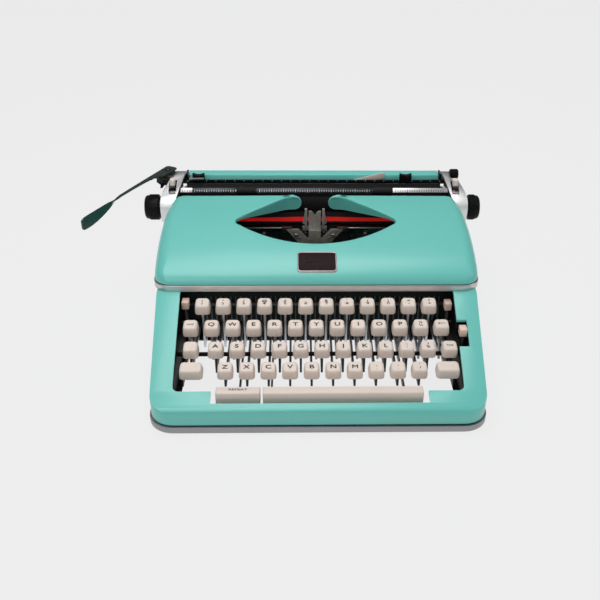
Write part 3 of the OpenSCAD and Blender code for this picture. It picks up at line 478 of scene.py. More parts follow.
def inked_cloth(name, colour, glow=0.0):
    """Woven ribbon soaked with ink: warp and weft, and streaks of heavier ink."""
    f = Finish(name)
    warp, weft = (f.node("ShaderNodeTexWave", {"bands_direction": way},
                         {"Vector": f.place, "Scale": threads, "Distortion": 0.4}, 1)
                  for way, threads in (("Z", 620.0), ("X", 560.0)))
    ink = f.noise(6, 3, (0.3, 1, 1))
    tone = f.mixed(ink * 0.6, shaded(colour, 0.7), shaded(colour, 1.25))
    return f.done(tone, 0.62 + ink * 0.2, warp * 0.5 + weft * 0.5, depth=0.05, strength=0.5,
                  **{"Emission Color": tone, "Emission Strength": glow})


def printed(name, colour, rough=0.5):
    """Filled lettering, slightly uneven."""
    f = Finish(name)
    wear = f.noise(0.9, 3)
    tone = f.mixed(wear * 0.4, colour, shaded(colour, 1.9))
    return f.done(tone, rough + wear * 0.1, wear, depth=0.004, strength=0.3)


FINISHES = {}


def make_finishes():
    """Every finish of the machine, from the colours in the sidebar."""
    casing, keys = bpy.context.scene.typewriter_casing, bpy.context.scene.typewriter_keys
    mint, cream = tuple(casing.colour), tuple(keys.colour)
    made = {
        "mint": enamel("mint_enamel", mint),
        "cream": moulded("cream_plastic", cream),
        "cream_bar": moulded("cream_bar_plastic", shaded(cream, 0.98), 0.46),
        "tab": tab_finish("lever_tab", cream),
        "blush": moulded("blush_plastic", (cream[0] * 1.12, cream[1] * 0.93, cream[2] * 0.9), 0.4),
        "ink": printed("legend_ink", (0.012, 0.011, 0.012)),
        "white": printed("scale_white", (0.62, 0.62, 0.60)),
        "silver": brushed("brushed_aluminium", (0.70, 0.68, 0.68), 0.34, wear=0.15),
        "base": brushed("base_aluminium", (0.36, 0.35, 0.36), 0.4, wear=0.15),
        "trim": brushed("trim_aluminium", (0.66, 0.64, 0.63), 0.3, grain=0.5),
        "end": end_metal("end_cover_aluminium"),
        "rim": brushed("badge_rim", (0.50, 0.42, 0.43), 0.3, grain=0.2),
        "steel": lever_steel("key_lever_steel", (0.72, 0.75, 0.78)),
        "dull": brushed("nickel_plate", (0.37, 0.35, 0.29), 0.4, along=2, metal=0.45, wear=0.4),
        "fin": brushed("bright_steel", (0.62, 0.62, 0.60), 0.32, along=2, metal=0.6, wear=0.2),
        "type": brushed("type_steel", (0.18, 0.18, 0.18), 0.36, along=1, wear=0.4),
        "blued": brushed("blued_steel", (0.055, 0.06, 0.065), 0.34, along=0, wear=0.2),
        "segment": brushed("segment_steel", (0.10, 0.10, 0.10), 0.4, along=1, wear=0.4),
        # painted reflection: the chrome is tinted dark green as if it mirrored the mint casing
        "chrome": brushed("return_lever_chrome", (0.10, 0.155, 0.14), 0.14, grain=0.15, depth=0.002),
        "bracket": brushed("lever_bracket", (0.07, 0.075, 0.072), 0.3, wear=0.3),
        "chassis": dark_coat("chassis_paint", (0.004, 0.004, 0.004), 0.55, shine=0.1),
        "comb": dark_coat("comb_paint", (0.010, 0.014, 0.014), 0.42, lump=1.4, scuff=0.03),
        "comb_rib": brushed("comb_rib_steel", (0.10, 0.125, 0.125), 0.4, along=2, metal=0.7),
        "comb_bar": brushed("comb_bar_steel", (0.14, 0.145, 0.14), 0.45, metal=0.8),
        "black": dark_coat("black_plastic", (0.004, 0.004, 0.004), 0.36, lump=0.5, depth=0.02, shine=0.14),
        "gloss": dark_coat("black_enamel", (0.005, 0.005, 0.005), 0.3, lump=2.0, depth=0.02, shine=0.4),
        "rubber": dark_coat("foot_rubber", (0.018, 0.018, 0.018), 0.7, lump=0.7, depth=0.08),
        "platen": platen_rubber("platen_rubber"),
        "field": dark_coat("badge_field", (0.012, 0.003, 0.005), 0.3, lump=0.8, depth=0.01, scuff=0.02,
                           shine=0.06),
        "ribbon_black": inked_cloth("ribbon_black", (0.012, 0.012, 0.014)),
        # painted light: the red ribbon glows so that it stays bright in the shade of the cover
        "ribbon_red": inked_cloth("ribbon_red", (0.98, 0.022, 0.016), 0.22),
        "brass": brushed("bell_nickel", (0.62, 0.56, 0.44), 0.2, wear=0.2),
    }
    FINISHES.update(made)


def finish_nodes(**finishes):
    """Nodes that keep their own solids get better finishes."""
    for node, finish in finishes.items():
        materials = frame["nodes"][node].data.materials
        materials.clear()
        materials.append(FINISHES[finish])


# ---- Geometry Nodes ----


class Growth:
    """A tree of geometry nodes that sets copies of a form at points, and the one way its nodes are made."""

    def __init__(self, name, *inputs):
        self.tree = bpy.data.node_groups.new(name, "GeometryNodeTree")
        face = self.tree.interface
        for label, kind in inputs:
            face.new_socket(name=label, in_out="INPUT", socket_type="NodeSocket" + kind)
        face.new_socket(name="Mesh", in_out="OUTPUT", socket_type="NodeSocketGeometry")
        self.given = self.tree.nodes.new("NodeGroupInput").outputs
        self.index = self.node("GeometryNodeInputIndex")

    def node(self, kind, links=None, output=0, **settings):
        made = self.tree.nodes.new(kind)
        for key, value in settings.items():
            setattr(made, key, value)
        for key, value in (links or {}).items():
            plug(self.tree, made.inputs[key], value)
        return made.outputs[output]

    def maths(self, operation, *values):
        return self.node("ShaderNodeMath", dict(enumerate(values)), operation=operation)

    def close(self, links):
        """Sets the copies, makes them one mesh and gives it its finish."""
        copies = self.node("GeometryNodeInstanceOnPoints", links)
        real = self.node("GeometryNodeRealizeInstances", {0: copies})
        coat = self.node("GeometryNodeSetMaterial", {"Geometry": real, "Material": self.given["Finish"]})
        self.tree.links.new(coat, self.tree.nodes.new("NodeGroupOutput").inputs[0])
        return self.tree


def repeat_tree(name, ring):
    """A tree that sets small bars in a row along x, or in a ring about x, a longer one every so often."""
    grow = Growth(name, ("Count", "Int"), ("Pitch", "Float"), ("Bar size", "Vector"), ("Every", "Int"),
                  ("Longer", "Float"), ("Finish", "Material"))
    count, pitch = grow.given["Count"], grow.given["Pitch"]
    bar = grow.node("GeometryNodeMeshCube", {"Size": grow.given["Bar size"]})
    special = grow.maths("LESS_THAN", grow.maths("MODULO", grow.index, grow.given["Every"]), 0.5)
    length = grow.maths("ADD", grow.maths("MULTIPLY", special, grow.given["Longer"]), 1.0)
    scale = grow.node("ShaderNodeCombineXYZ", {0: 1.0, 1: 1.0, 2: length})
    if ring:
        # the pitch is the ring's radius
        angle = grow.maths("MULTIPLY", grow.maths("DIVIDE", grow.index, count), math.tau)
        y, z = grow.maths("COSINE", angle), grow.maths("SINE", angle)
        spot = grow.node("ShaderNodeCombineXYZ", {1: y, 2: z})
        place = grow.node("ShaderNodeVectorMath", {0: spot, "Scale": pitch}, operation="SCALE")
        turn = grow.node("ShaderNodeCombineXYZ", {0: angle})
    else:
        place = grow.node("ShaderNodeCombineXYZ", {0: grow.maths("MULTIPLY", grow.index, pitch)})
        turn = grow.node("ShaderNodeCombineXYZ")
    dots = grow.node("GeometryNodePoints", {"Count": count, "Position": place})
    return grow.close({"Points": dots, "Instance": bar, "Rotation": turn, "Scale": scale})


def grown(name, tree, values, matrix, bevel=0.0):
    """The plain mesh that a tree makes from its named inputs, moved by the matrix, in millimetres."""
    piece = linked(name, bpy.data.meshes.new(name))
    values = {**values, "Finish": FINISHES[values["Finish"]]}
    growth = piece.modifiers.new("Growth", "NODES")
    growth.node_group = tree
    for item in tree.interface.items_tree:
        if item.item_type == "SOCKET" and item.in_out == "INPUT" and item.name in values:
            growth[item.identifier] = values[item.name]
    bpy.context.view_layer.update()
    settle(piece)
    mesh = piece.data
    for vertex in mesh.vertices:
        vertex.co = placed(matrix @ vertex.co)
    made = bmesh.new()
    made.from_mesh(mesh)
    bmesh.ops.recalc_face_normals(made, faces=made.faces)
    made.to_mesh(mesh)
    made.free()
    soften(piece, bevel, 2)
    return piece


def type_bar_tree(name):
    """A tree that hangs one type bar at each step of the fan, but for the one that moves."""
    grow = Growth(name, ("Count", "Int"), ("Step", "Float"), ("Left out", "Int"), ("Bar", "Object"),
                  ("Finish", "Material"))
    count = grow.given["Count"]
    middle = grow.maths("MULTIPLY", grow.maths("SUBTRACT", count, 1.0), 0.5)
    angle = grow.maths("MULTIPLY", grow.maths("SUBTRACT", middle, grow.index), grow.given["Step"])
    away = grow.maths("ABSOLUTE", grow.maths("SUBTRACT", grow.index, grow.given["Left out"]))
    return grow.close({
        "Points": grow.node("GeometryNodePoints", {"Count": count}),
        "Selection": grow.maths("GREATER_THAN", away, 0.5),
        "Instance": grow.node("GeometryNodeObjectInfo", {0: grow.given["Bar"]}, "Geometry"),
        "Rotation": grow.node("ShaderNodeCombineXYZ", {1: angle})})


# ---- Casing ----

NOSE = (curve((COVER_FRONT, COVER_BASE), (-22.0, COVER_TOP - 18), (-2.0, COVER_TOP - 13),
              (29.0, COVER_TOP - 7.6), 40)
        + curve((30.0, COVER_TOP - 7.4), (60.0, COVER_TOP - 2), (82.0, COVER_TOP), (107.0, COVER_TOP), 20)
        + [(140.0, COVER_TOP)])


def cover_height(y):
    """Height of the ribbon cover's top along its middle."""
    return float(np.interp(y, [p[0] for p in NOSE], [p[1] for p in NOSE]))


COVER_SIDE = curve((COVER_HALF, -8.9), (154.0, 30.0), (154.2, 75.0), (148.0, COVER_BACK), 24)


def cover_half(y):
    """Half the cover's width; its sides bulge a little."""
    return float(np.interp(y, [p[1] for p in COVER_SIDE], [p[0] for p in COVER_SIDE]))


def cover_edge(side=40, corner=14, front=34):
    """Left half of the cover's plan from the back: points with their inward normals and edge radius."""
    found = []
    far, straight, sharp = COVER_BACK - BACK_ROUND, COVER_HALF - COVER_CORNER, 1.2
    near = COVER_FRONT + COVER_CORNER
    for i in range(side):
        y = far - (far - near) * i / side
        found.append((-cover_half(y), y, 1.0, 0.0, COVER_ROUND))
    for i in range(corner):
        turn = math.radians(90 * i / corner)
        out_x, out_y = -math.cos(turn), -math.sin(turn)
        radius = min(COVER_ROUND, COVER_ROUND * math.cos(turn) + sharp)
        found.append((-straight + COVER_CORNER * out_x, near + COVER_CORNER * out_y, -out_x, -out_y, radius))
    for i in range(front + 1):
        found.append((straight * (i / front - 1), COVER_FRONT, 0.0, 1.0, sharp))
    return found


def eye_edge():
    """Left half of the eye's outline in plan, from the arm's tip round to the middle of its front."""

    def from_tip(x, y):
        return -TIP_HALF - x, y

    def from_corner(x, y):
        return x - EYE_HALF, EYE_CORNER + y

    tip = curve(from_tip(0, 108), from_tip(6, 108), from_tip(11, 107.8), from_tip(15.5, 105.9), 10)
    arm = curve(from_tip(19, 103), from_tip(32, 90), from_corner(18, 20), from_corner(4.5, 7), 30)
    corner = curve(from_corner(3.6, 6.2), from_corner(-2.6, 0.6), from_corner(-2.2, -3.8),
                   from_corner(2.6, -7.2), 14)
    front = curve(from_corner(3.4, -7.8), from_corner(12, -15), (-40, EYE_FRONT), (0, EYE_FRONT), 60)
    return np.array(tip + arm + corner + front)


def along(points, share):
    """The point at a share of a line's length, and the direction there."""
    steps = np.linalg.norm(np.diff(points, axis=0), axis=1)
    total = np.concatenate([[0], np.cumsum(steps)])
    s = share * total[-1]
    place = np.array([np.interp(s, total, points[:, k]) for k in (0, 1)])
    ahead = np.array([np.interp(min(s + 0.7, total[-1]), total, points[:, k]) for k in (0, 1)])
    behind = np.array([np.interp(max(s - 0.7, 0), total, points[:, k]) for k in (0, 1)])
    direction = (ahead - behind) / np.linalg.norm(ahead - behind)
    return place, direction


def eye_shares(eye, count):
    """Where the cover's sections meet the eye's edge: close together round the arm's tip and the corner."""
    reach = np.concatenate([[0], np.cumsum(np.linalg.norm(np.diff(eye, axis=0), axis=1))])
    tip = ARM_TIP / reach[-1]
    bend = [reach[np.argmax(eye[:, 1] < EYE_CORNER + y)] / reach[-1] for y in (9, -10)]
    return np.concatenate([[tip * (1 - math.cos(math.pi * i / 24)) for i in range(12)],
                           np.linspace(tip, bend[0], 12, endpoint=False),
                           np.linspace(*bend, 16, endpoint=False), np.linspace(bend[1], 1, count - 40)])


def cover_columns():
    """Cross-sections of the cover's skin from its lower edge over the top to the eye's turned-down edge."""
    edge, eye = cover_edge(), eye_edge()
    side = 40
    shares = eye_shares(eye, len(edge))
    columns = []
    for i, (x, y, nx, ny, radius) in enumerate(edge):
        (ex, ey), (dx, dy) = along(eye, shares[i])
        inward = np.array([-dy, dx])  # towards the eye
        rise = max(cover_height(y) - COVER_BASE, 0.05)
        radius = min(radius, rise * 0.96)
        column = [(x, y, COVER_BASE + (rise - radius) * k / 4) for k in range(5)]
        for k in range(1, 9):
            a = math.radians(90 * k / 8)
            d = radius * (1 - math.cos(a))
            px, py = x + nx * d, y + ny * d
            top = cover_height(py)
            fall = radius * (1 - math.sin(a)) * min(1, (top - COVER_BASE) / max(radius, 0.1))
            column.append((px, py, max(COVER_BASE, top - fall)))
        lip = 1.3
        sx, sy = column[-1][0], column[-1][1]
        tx, ty = ex - inward[0] * lip, ey - inward[1] * lip
        for k in range(1, 25):
            t = k / 24
            t = t * t * (1 - 0.35 * t) / 0.65 if i >= side else t
            px, py = sx + (tx - sx) * t, sy + (ty - sy) * t
            column.append((px, py, cover_height(py)))
        top = cover_height(ty)
        shallow, deepening, slope = 2.2, 1.4, 0.214
        low = min(top - shallow - deepening * eased((ey - 46) / 14), COVER_TOP - 4.9 - slope * (ey - 62))
        for k in range(1, 6):
            a = math.radians(90 * k / 5)
            out = lip * math.sin(a)
            column.append((tx + inward[0] * out, ty + inward[1] * out, top - lip * (1 - math.cos(a))))
        for k in range(1, 6):
            column.append((ex, ey, top - lip + (low - top + lip) * k / 5))
        columns.append(column)
    # back edge, turned down behind the arms
    first = columns[0]
    back = []
    for k in range(1, 5):
        a = math.radians(90 * k / 4)
        behind, down = BACK_ROUND * math.sin(a), BACK_ROUND * (1 - math.cos(a))
        back.append([(x, y + behind, max(COVER_BASE, z - down)) for x, y, z in first])
    for k in (1, 2, 3):
        back.append([(x, y, z + (min(z, BACK_LOW) - z) * k / 3) for x, y, z in back[3]])
    for column in back:
        floor = first[-1][2]
        for j in range(len(column) - 12, len(column)):
            x, y, z = column[j]
            column[j] = (x, y, max(z, floor))
    return back[::-1] + columns


def round_tip(point):
    """Rounds the end of an arm in front view."""
    x, y, z = point
    e = abs(x) - TIP_HALF
    front, underside = 96, 96
    if y < front or z <= underside or e > ARM_TIP:
        return point
    middle, half = COVER_TOP - ARM_TIP, ARM_TIP
    drop = math.sqrt(max(0.0, half * half - (half - max(e, 0)) ** 2)) / half
    return x, y, middle + (z - middle) * max(drop, 0.05)


def build_cover():
    left = cover_columns()
    columns = left + [[(-x, y, z) for x, y, z in column] for column in left[-2::-1]]
    columns = [[round_tip(p) for p in column] for column in columns]
    skin = Shape()
    rows = len(columns[0])
    faces = []
    for i in range(len(columns) - 1):
        for j in range(rows - 1):
            a = i * rows + j
            faces.append([a, a + rows, a + rows + 1, a + 1])
    skin.add([p for column in columns for p in column], faces)
    cover = skin.build("cover_skin", "mint", mend=False)
    made = bmesh.new()
    made.from_mesh(cover.data)
    bmesh.ops.remove_doubles(made, verts=made.verts, dist=2e-6)
    bmesh.ops.dissolve_degenerate(made, edges=made.edges, dist=2e-6)
    made.to_mesh(cover.data)
    made.free()
    wall = cover.modifiers.new("Wall", "SOLIDIFY")
    wall.thickness, wall.offset = 0.0018, -1
    settle(cover)
    cover.data.shade_smooth()
    cover.data.set_sharp_from_angle(angle=math.radians(50))
    attach(cover, "ribbon_cover", slot="mint_paint")


def swept_edge(name, profile, finish):
    """A band round the cover's plan; the profile holds (outwards, height)."""
    band = Shape()
    half = [(x, y, nx, ny) for x, y, nx, ny, _ in cover_edge(side=20)]
    half[0] = (-cover_half(COVER_BACK), COVER_BACK, 1.0, 0.0)
    path = half + [(-x, y, -nx, ny) for x, y, nx, ny in half[-2::-1]]
    rings = [[(x - nx * out, y - ny * out, z) for out, z in profile] for x, y, nx, ny in path]
    band.loft(rings)
    return band.build(name, finish, angle=28)


def build_trim():
    profile = [(-5, TRIM_BASE), (0.8, TRIM_BASE)]
    for groove in (TRIM_BASE + 1.0, TRIM_TOP - 1.1):
        profile += [(0.8, groove - 0.35), (0.5, groove - 0.2), (0.5, groove + 0.2), (0.8, groove + 0.35)]
    profile += [(0.8, TRIM_TOP - 0.5), (0.45, TRIM_TOP - 0.05), (-5, TRIM_TOP - 0.05)]
    attach(swept_edge("trim_band", profile, "trim"), "cover_trim", slot="trim_silver")
    # painted shadow: a thin black band fills the gap between trim and cover, where shade falls
    shadow_gap_profile = [(-4, TRIM_TOP), (0.4, TRIM_TOP), (0.4, COVER_BASE - 0.05), (-4, COVER_BASE - 0.05)]
    attach(swept_edge("cover_gasket", shadow_gap_profile, "rubber"), body="base")


def build_badge():
    """A blank plate: a raised rim about an empty sunk field, both following the cover."""
    width = bpy.context.scene.typewriter_casing.badge_width / 2
    plate = Shape()
    back, front = 6.0, -17.5
    middle, half_y = (back + front) / 2, (back - front) / 2
    rings = [(0.0, -0.3), (0.0, 0.75), (0.2, 1.05), (0.5, 1.2), (0.9, 1.15), (1.1, 0.95), (1.25, 0.6)]
    field = [(1.25, 0.6), (3.0, 0.6), (5.5, 0.6), (8.5, 0.6), (11.4, 0.6)]

    def ring(inset, lift):
        outline = filled(rounded_outline(width - inset, half_y - inset, max(3.4 - inset, 0.8), 5))
        return [(x, middle + y, cover_height(middle + y) + lift) for x, y in outline]

    plate.loft([ring(*r) for r in rings], 0, ends=False)
    plate.loft([ring(*r) for r in field], 1, ends=False)
    last = ring(*field[-1])
    plate.add(last, [list(range(len(last)))], 1)
    under = ring(*rings[0])
    plate.add(under, [list(range(len(under)))[::-1]], 0)
    attach(plate.build("badge_blank", "rim", "field", angle=50), "badge_plate")


# ---- Keyboard ----

LEGENDS = (
    ("!1", '"2', "/3", "@4", "£5", "_6", "&7", "'8", "(9", ")0", "=-", "*+"),
    ("Q", "W", "E", "R", "T", "Y", "U", "I", "O", "P", "¼½"),
    ("A", "S", "D", "F", "G", "H", "J", "K", "L", ":;", "?%"),
    ("Z", "X", "C", "V", "B", "N", "M", ",,", "..", "'/"),
)


def key_place(row, key):
    return ROW_X[row] + KEY_PITCH * key, row_y(row), row_z(row)


def finger_column(number):
    if number < 10:
        return [(row, number) for row in range(4)]
    return [(0, 10), (0, 11), (1, 10), (2, 10)]


def cap_matrix(x, y, z):
    return Matrix.Translation((x, y, z)) @ Matrix.Rotation(math.radians(CAP_TILT), 4, "X")


def add_cap(shape, x, y, z, width, depth):
    """A moulded cap: straight skirt, soft shoulders and a slightly dished top."""
    sections = [(0.0, -CAP_H), (0.0, -CAP_H + 2.6), (0.2, -5.0), (0.45, -2.6), (0.7, -1.4), (1.05, -0.6),
                (1.6, -0.15), (2.3, 0.0), (3.2, -0.06), (4.4, -0.16), (5.6, -0.26), (6.4, -0.3)]
    rings = []
    for inset, height in sections:
        outline = rounded_outline(width / 2 - inset, depth / 2 - inset, max(3.3 - inset * 0.22, 0.4), 6)
        rings.append([(a, b, height) for a, b in outline])
    inner = [[(a * 0.9, b * 0.9, h + 1.2) for a, b, h in rings[0]]]
    first = len(shape.points)
    shape.loft(inner + rings, 0)
    shape.moved(cap_matrix(x, y, z), first)


def add_lever(shape, x, y, z):
    """A flat lever with a stem that rises to the cap."""
    under, over, far = LEVER_Z - LEVER_H / 2, LEVER_Z + LEVER_H / 2, FULCRUM_Y + LEVER_H / 2 + 1
    near, back, top = y - 3, y + 3, z - CAP_H + 1.5
    outline = [(near, under), (far, under), (far, over), (back + 3, over), (back + 0.8, over + 0.9),
               (back, over + 3), (back, top), (near, top)]
    shape.prism(outline, "x", x - LEVER_T / 2, x + LEVER_T / 2)


def add_text(words, name, matrix, size, stretch=1.22):
    """Flat lettering as a thin mesh, its middle at the matrix's origin."""
    font = bpy.data.curves.new(name, "FONT")
    font.body = words
    font.size = size
    font.align_x, font.align_y = "CENTER", "CENTER"
    font.extrude = 0.02
    font.offset = 0 if "M" in words else 0.022 * size
    font.resolution_u = 3
    holder = linked(name, font)
    graph = bpy.context.evaluated_depsgraph_get()
    mesh = bpy.data.meshes.new_from_object(holder.evaluated_get(graph))
    points = [matrix @ Vector((v.co.x * stretch, v.co.y, v.co.z)) for v in mesh.vertices]
    faces = [list(p.vertices) for p in mesh.polygons]
    bpy.data.objects.remove(holder)
    bpy.data.curves.remove(font)
    bpy.data.meshes.remove(mesh)
    return points, faces


def add_legend(shape, words, x, y, z):
    size = bpy.context.scene.typewriter_keys.legend_size
    if len(words) > 2:
        rows = [(words, -0.2, 13.5 / (len(words) + 2))]
    elif len(words) == 2:
        rows = [(words[0], 1.6, size * 0.64), (words[1], -2.3, size * 0.7)]
    else:
        rows = [(words, -0.5, size)]
    for text, offset, tall in rows:
        for shift in (-0.13, 0.13) if "M" in text else (0,):
            matrix = cap_matrix(x, y, z) @ Matrix.Translation((shift, offset, -0.12))
            shape.add(*add_text(text, "legend", matrix, tall))


def build_key_group(name, node, caps, levers):
    """Caps with their lettering, and steel levers, of one body of keys."""
    body_caps, steel, ink = Shape(), Shape(), Shape()
    for x, y, z, width, legend in caps:
        add_cap(body_caps, x, y, z, width, CAP_D)
        if legend:
            add_legend(ink, legend, x, y, z)
    for lever in levers:
        add_lever(steel, *lever)
    attach(body_caps.build(f"caps_{name}", "cream", angle=60), node, slot="key_cream")
    attach(steel.build(f"levers_{name}", "steel", bevel=0.3), node)
    if ink.points:
        attach(ink.build(f"legends_{name}", "ink", mend=False), node)


def build_columns():
    for number in range(11):
        keys = finger_column(number)
        caps = [(*key_place(row, k), CAP_W, LEGENDS[row][k]) for row, k in keys]
        levers = [key_place(row, k) for row, k in keys]
        build_key_group(f"{number + 1:02d}", f"keys_column_{number + 1:02d}", caps, levers)


def add_arrow(shape, x, y, z):
    """An arrow to the left."""
    matrix = cap_matrix(x, y, z) @ Matrix.Translation((0, 0.4, -0.06))
    outline = [(-3.6, 0), (-1.6, 1.0), (-1.6, 0.25), (3.4, 0.25), (3.4, -0.25), (-1.6, -0.25), (-1.6, -1.0)]
    first = len(shape.points)
    shape.prism(outline, "z", -0.03, 0.03)
    shape.moved(matrix, first)


def build_special_keys():
    edge = 119.9
    y3, z3, y2, z2, y1, z1 = row_y(3), row_z(3), row_y(2), row_z(2), row_y(1), row_z(1)
    build_key_group("shift", "shift_keys", [(-111.9, y3, z3, 20.5, ""), (114.1, y3, z3, 20.5, "")],
                    [(-edge, y3, z3), (edge, y3, z3)])
    yoke = Shape()
    yoke.block(-edge + 1, edge - 1, 63, 68, LEVER_Z - 12, LEVER_Z - 7.5)
    for s in (-edge, edge):
        yoke.block(s - 1, s + 1, 60, 71, LEVER_Z - 12, LEVER_Z)
    attach(yoke.build("shift_yoke", "blued", bevel=0.3), body="shift")
    build_key_group("shift_lock", "shift_lock_key", [(-113.7, y2, z2, CAP_W, "")], [(-113.7, y2, z2)])
    build_key_group("margin_release", "margin_release_key", [(-115.25, y1, z1, CAP_W, "MAR REL")],
                    [(-116.65, y1, z1)])
    build_key_group("backspace", "backspace_key", [(112.75, y1, z1, CAP_W, "")], [(112.75, y1, z1)])
    arrow = Shape()
    add_arrow(arrow, 112.75, y1, z1)
    attach(arrow.build("backspace_arrow", "ink"), body="backspace")
    build_key_group("tab", "tab_key", [(118, y2, z2, CAP_W, "TAB")], [(116.2, y2, z2)])


def build_bar(name, node, x, length, levers, words=""):
    """A low bar key on levers under the others."""
    bar, steel = Shape(), Shape()
    half, d, h = length / 2, 12.0, 14.0
    side = [(-d / 2, BAR_TOP - h), (d / 2 - 1, BAR_TOP - h), (d / 2, BAR_TOP - 5),
            (d / 2 - 1.2, BAR_TOP - 0.9), (d / 2 - 2.2, BAR_TOP), (2.6 - d / 2, BAR_TOP),
            (1.4 - d / 2, BAR_TOP - 0.5), (0.8 - d / 2, BAR_TOP - 1.6), (-d / 2, BAR_TOP - 8)]
    rings = []
    near_end = [(1.3, -half), (0.35, -half + 0.4), (0, -half + 1.3)]
    for inset, place in near_end + [(inset, -place) for inset, place in near_end[::-1]]:
        ring = []
        for y, z in side:
            ty = max(-d / 2 + inset, min(d / 2 - inset, y))
            ring.append((x + place, BAR_Y + ty, min(z, BAR_TOP - inset * 0.8)))
        rings.append(ring)
    bar.loft(rings)
    attach(bar.build(f"{name}_cap", "cream_bar", bevel=0.35, angle=28), node, slot="key_cream")
    for p in levers:
        outline = [(BAR_Y - 3, BAR_PIVOT_Z - 2.5), (BAR_PIVOT_Y + 4, BAR_PIVOT_Z - 2.5),
                   (BAR_PIVOT_Y + 4, BAR_PIVOT_Z + 3.5), (BAR_Y + 6, BAR_PIVOT_Z + 3.5),
                   (BAR_Y + 3, BAR_TOP - h), (BAR_Y - 3, BAR_TOP - h)]
        steel.prism(outline, "x", p - 0.8, p + 0.8)
    attach(steel.build(f"{name}_levers", "blued", bevel=0.25), node)
    if words:
        ink = Shape()
        matrix = Matrix.Translation((x, BAR_Y + 0.2, BAR_TOP + 0.01))
        ink.add(*add_text(words, "bar_legend", matrix, 3.6, 1.35))
        attach(ink.build(f"{name}_legend", "ink", mend=False), node)


def lever_x(n):
    return ROW_X[0] + KEY_PITCH * n / 4


def build_bars():
    space, repeat = bpy.context.scene.typewriter_keys.space_length, 38.4
    levers = [lever_x(number) + KEY_PITCH / 8 for number in (13, 38)]
    build_bar("space_bar", "space_bar", 21.0, space, levers)
    build_bar("repeat_bar", "repeat_key", -70.0, repeat, [lever_x(7) + KEY_PITCH / 8], "REPEAT")


def build_selectors():
    places = {"left": (-122.5, -28.0, 44.0, 68.0, -129.5), "right": (122.5, -28.0, 44.0, 66.0, 129.5),
              "side": (132.0, -62.0, 34.0, 59.0, 127.5)}
    for side, (x, y, pin, tip, plate) in places.items():
        node = f"selector_lever_{side}"
        knob, stem = Shape(), Shape()
        knob.block(x - 3.4, x + 3.4, y - 4.5, y + 4.5, tip - 8, tip)
        attach(knob.build(f"selector_tip_{side}", "blush", bevel=0.9, segments=3), node)
        stem.block(x - 1, x + 1, y - 3, y + 3, pin - 3, tip - 8)
        stem.turned([(1.2, min(x, plate)), (1.2, max(x, plate))], "x", (y, pin), 16)
        attach(stem.build(f"selector_stem_{side}", "comb_bar", bevel=0.2), node)


def build_comb(tree):
    """Guide comb behind the keys, with its ribs."""
    finish_nodes(key_comb="comb", key_rods="chassis")
    ribs = grown("comb_ribs", tree, {"Count": 48, "Pitch": KEY_PITCH / 4, "Bar size": (1.3, 1.6, 27.0),
                                     "Every": 1000, "Longer": 0.0, "Finish": "comb_rib"},
                 Matrix.Translation((ROW_X[0], -9.85, 47.5)), 0.25)
    attach(ribs, body="base")
    bar = Shape()
    bar.prism([(-12.0, 51.6), (-9.6, 51.6), (-9.6, 55.0), (-12.0, 55.0)], "x", -127.3, 127.3)
    attach(bar.build("comb_bar", "comb_bar", bevel=0.9), body="base")


# ---- Type works ----


def build_type_bars():
    bar = Shape()
    foot, far = BAR_END_Y - BAR_L, BAR_END_Y + 1.5
    bar.prism([(foot - 0.4, -SEGMENT_R - 1.2), (far, -SEGMENT_R - 1.5), (far, -SEGMENT_R + 1.5),
               (far - 12, -SEGMENT_R + 1.1), (foot - 0.4, -SEGMENT_R + 1.2)], "x", -0.55, 0.55)
    bar.prism([(foot - 3.5, -SEGMENT_R - 1.5), (foot + 0.5, -SEGMENT_R - 1.5), (foot + 0.5, -SEGMENT_R + 8),
               (foot - 2.2, -SEGMENT_R + 8), (foot - 3.5, -SEGMENT_R + 6.6)], "x", -0.8, 0.8)
    template = bar.build("type_bar_form", "type", bevel=0.12)
    middle = Vector(placed((0, 0, 0)))
    for vertex in template.data.vertices:
        vertex.co = (vertex.co - middle) * 1000
    tree = type_bar_tree("Fan of type bars")
    fan = grown("type_bar_fan", tree, {
        "Count": TYPE_BARS, "Step": math.radians(-BAR_STEP), "Left out": TYPE_BARS // 2, "Bar": template,
        "Finish": "type"}, Matrix.Translation((0, 0, PRINT_Z)))
    attach(fan, "type_bars")
    bpy.data.objects.remove(template)
    single = Shape()
    single.points, single.faces, single.finishes = list(bar.points), list(bar.faces), list(bar.finishes)
    turn = -(TYPE_BARS // 2 - (TYPE_BARS - 1) / 2) * BAR_STEP
    single.moved(Matrix.Translation((0, 0, PRINT_Z)) @ Matrix.Rotation(math.radians(turn), 4, "Y"))
    attach(single.build("moving_type_bar", "fin", bevel=0.12), "active_type_bar")


def add_screw(shape, x, z, y, radius, finish=0, slot=1):
    """A cheese-head screw facing the typist, with its slot."""
    head = [(radius, y), (radius, y - 0.7), (radius * 0.86, y - 1.0), (0.01, y - 1.05)]
    shape.turned(head, "y", (z, x), 20, finish)
    # painted shade: the slot's groove is a black bar on the head
    shape.block(x - radius * 0.8, x + radius * 0.8, y - 1.12, y - 1.0, z - 0.16, z + 0.16, slot)


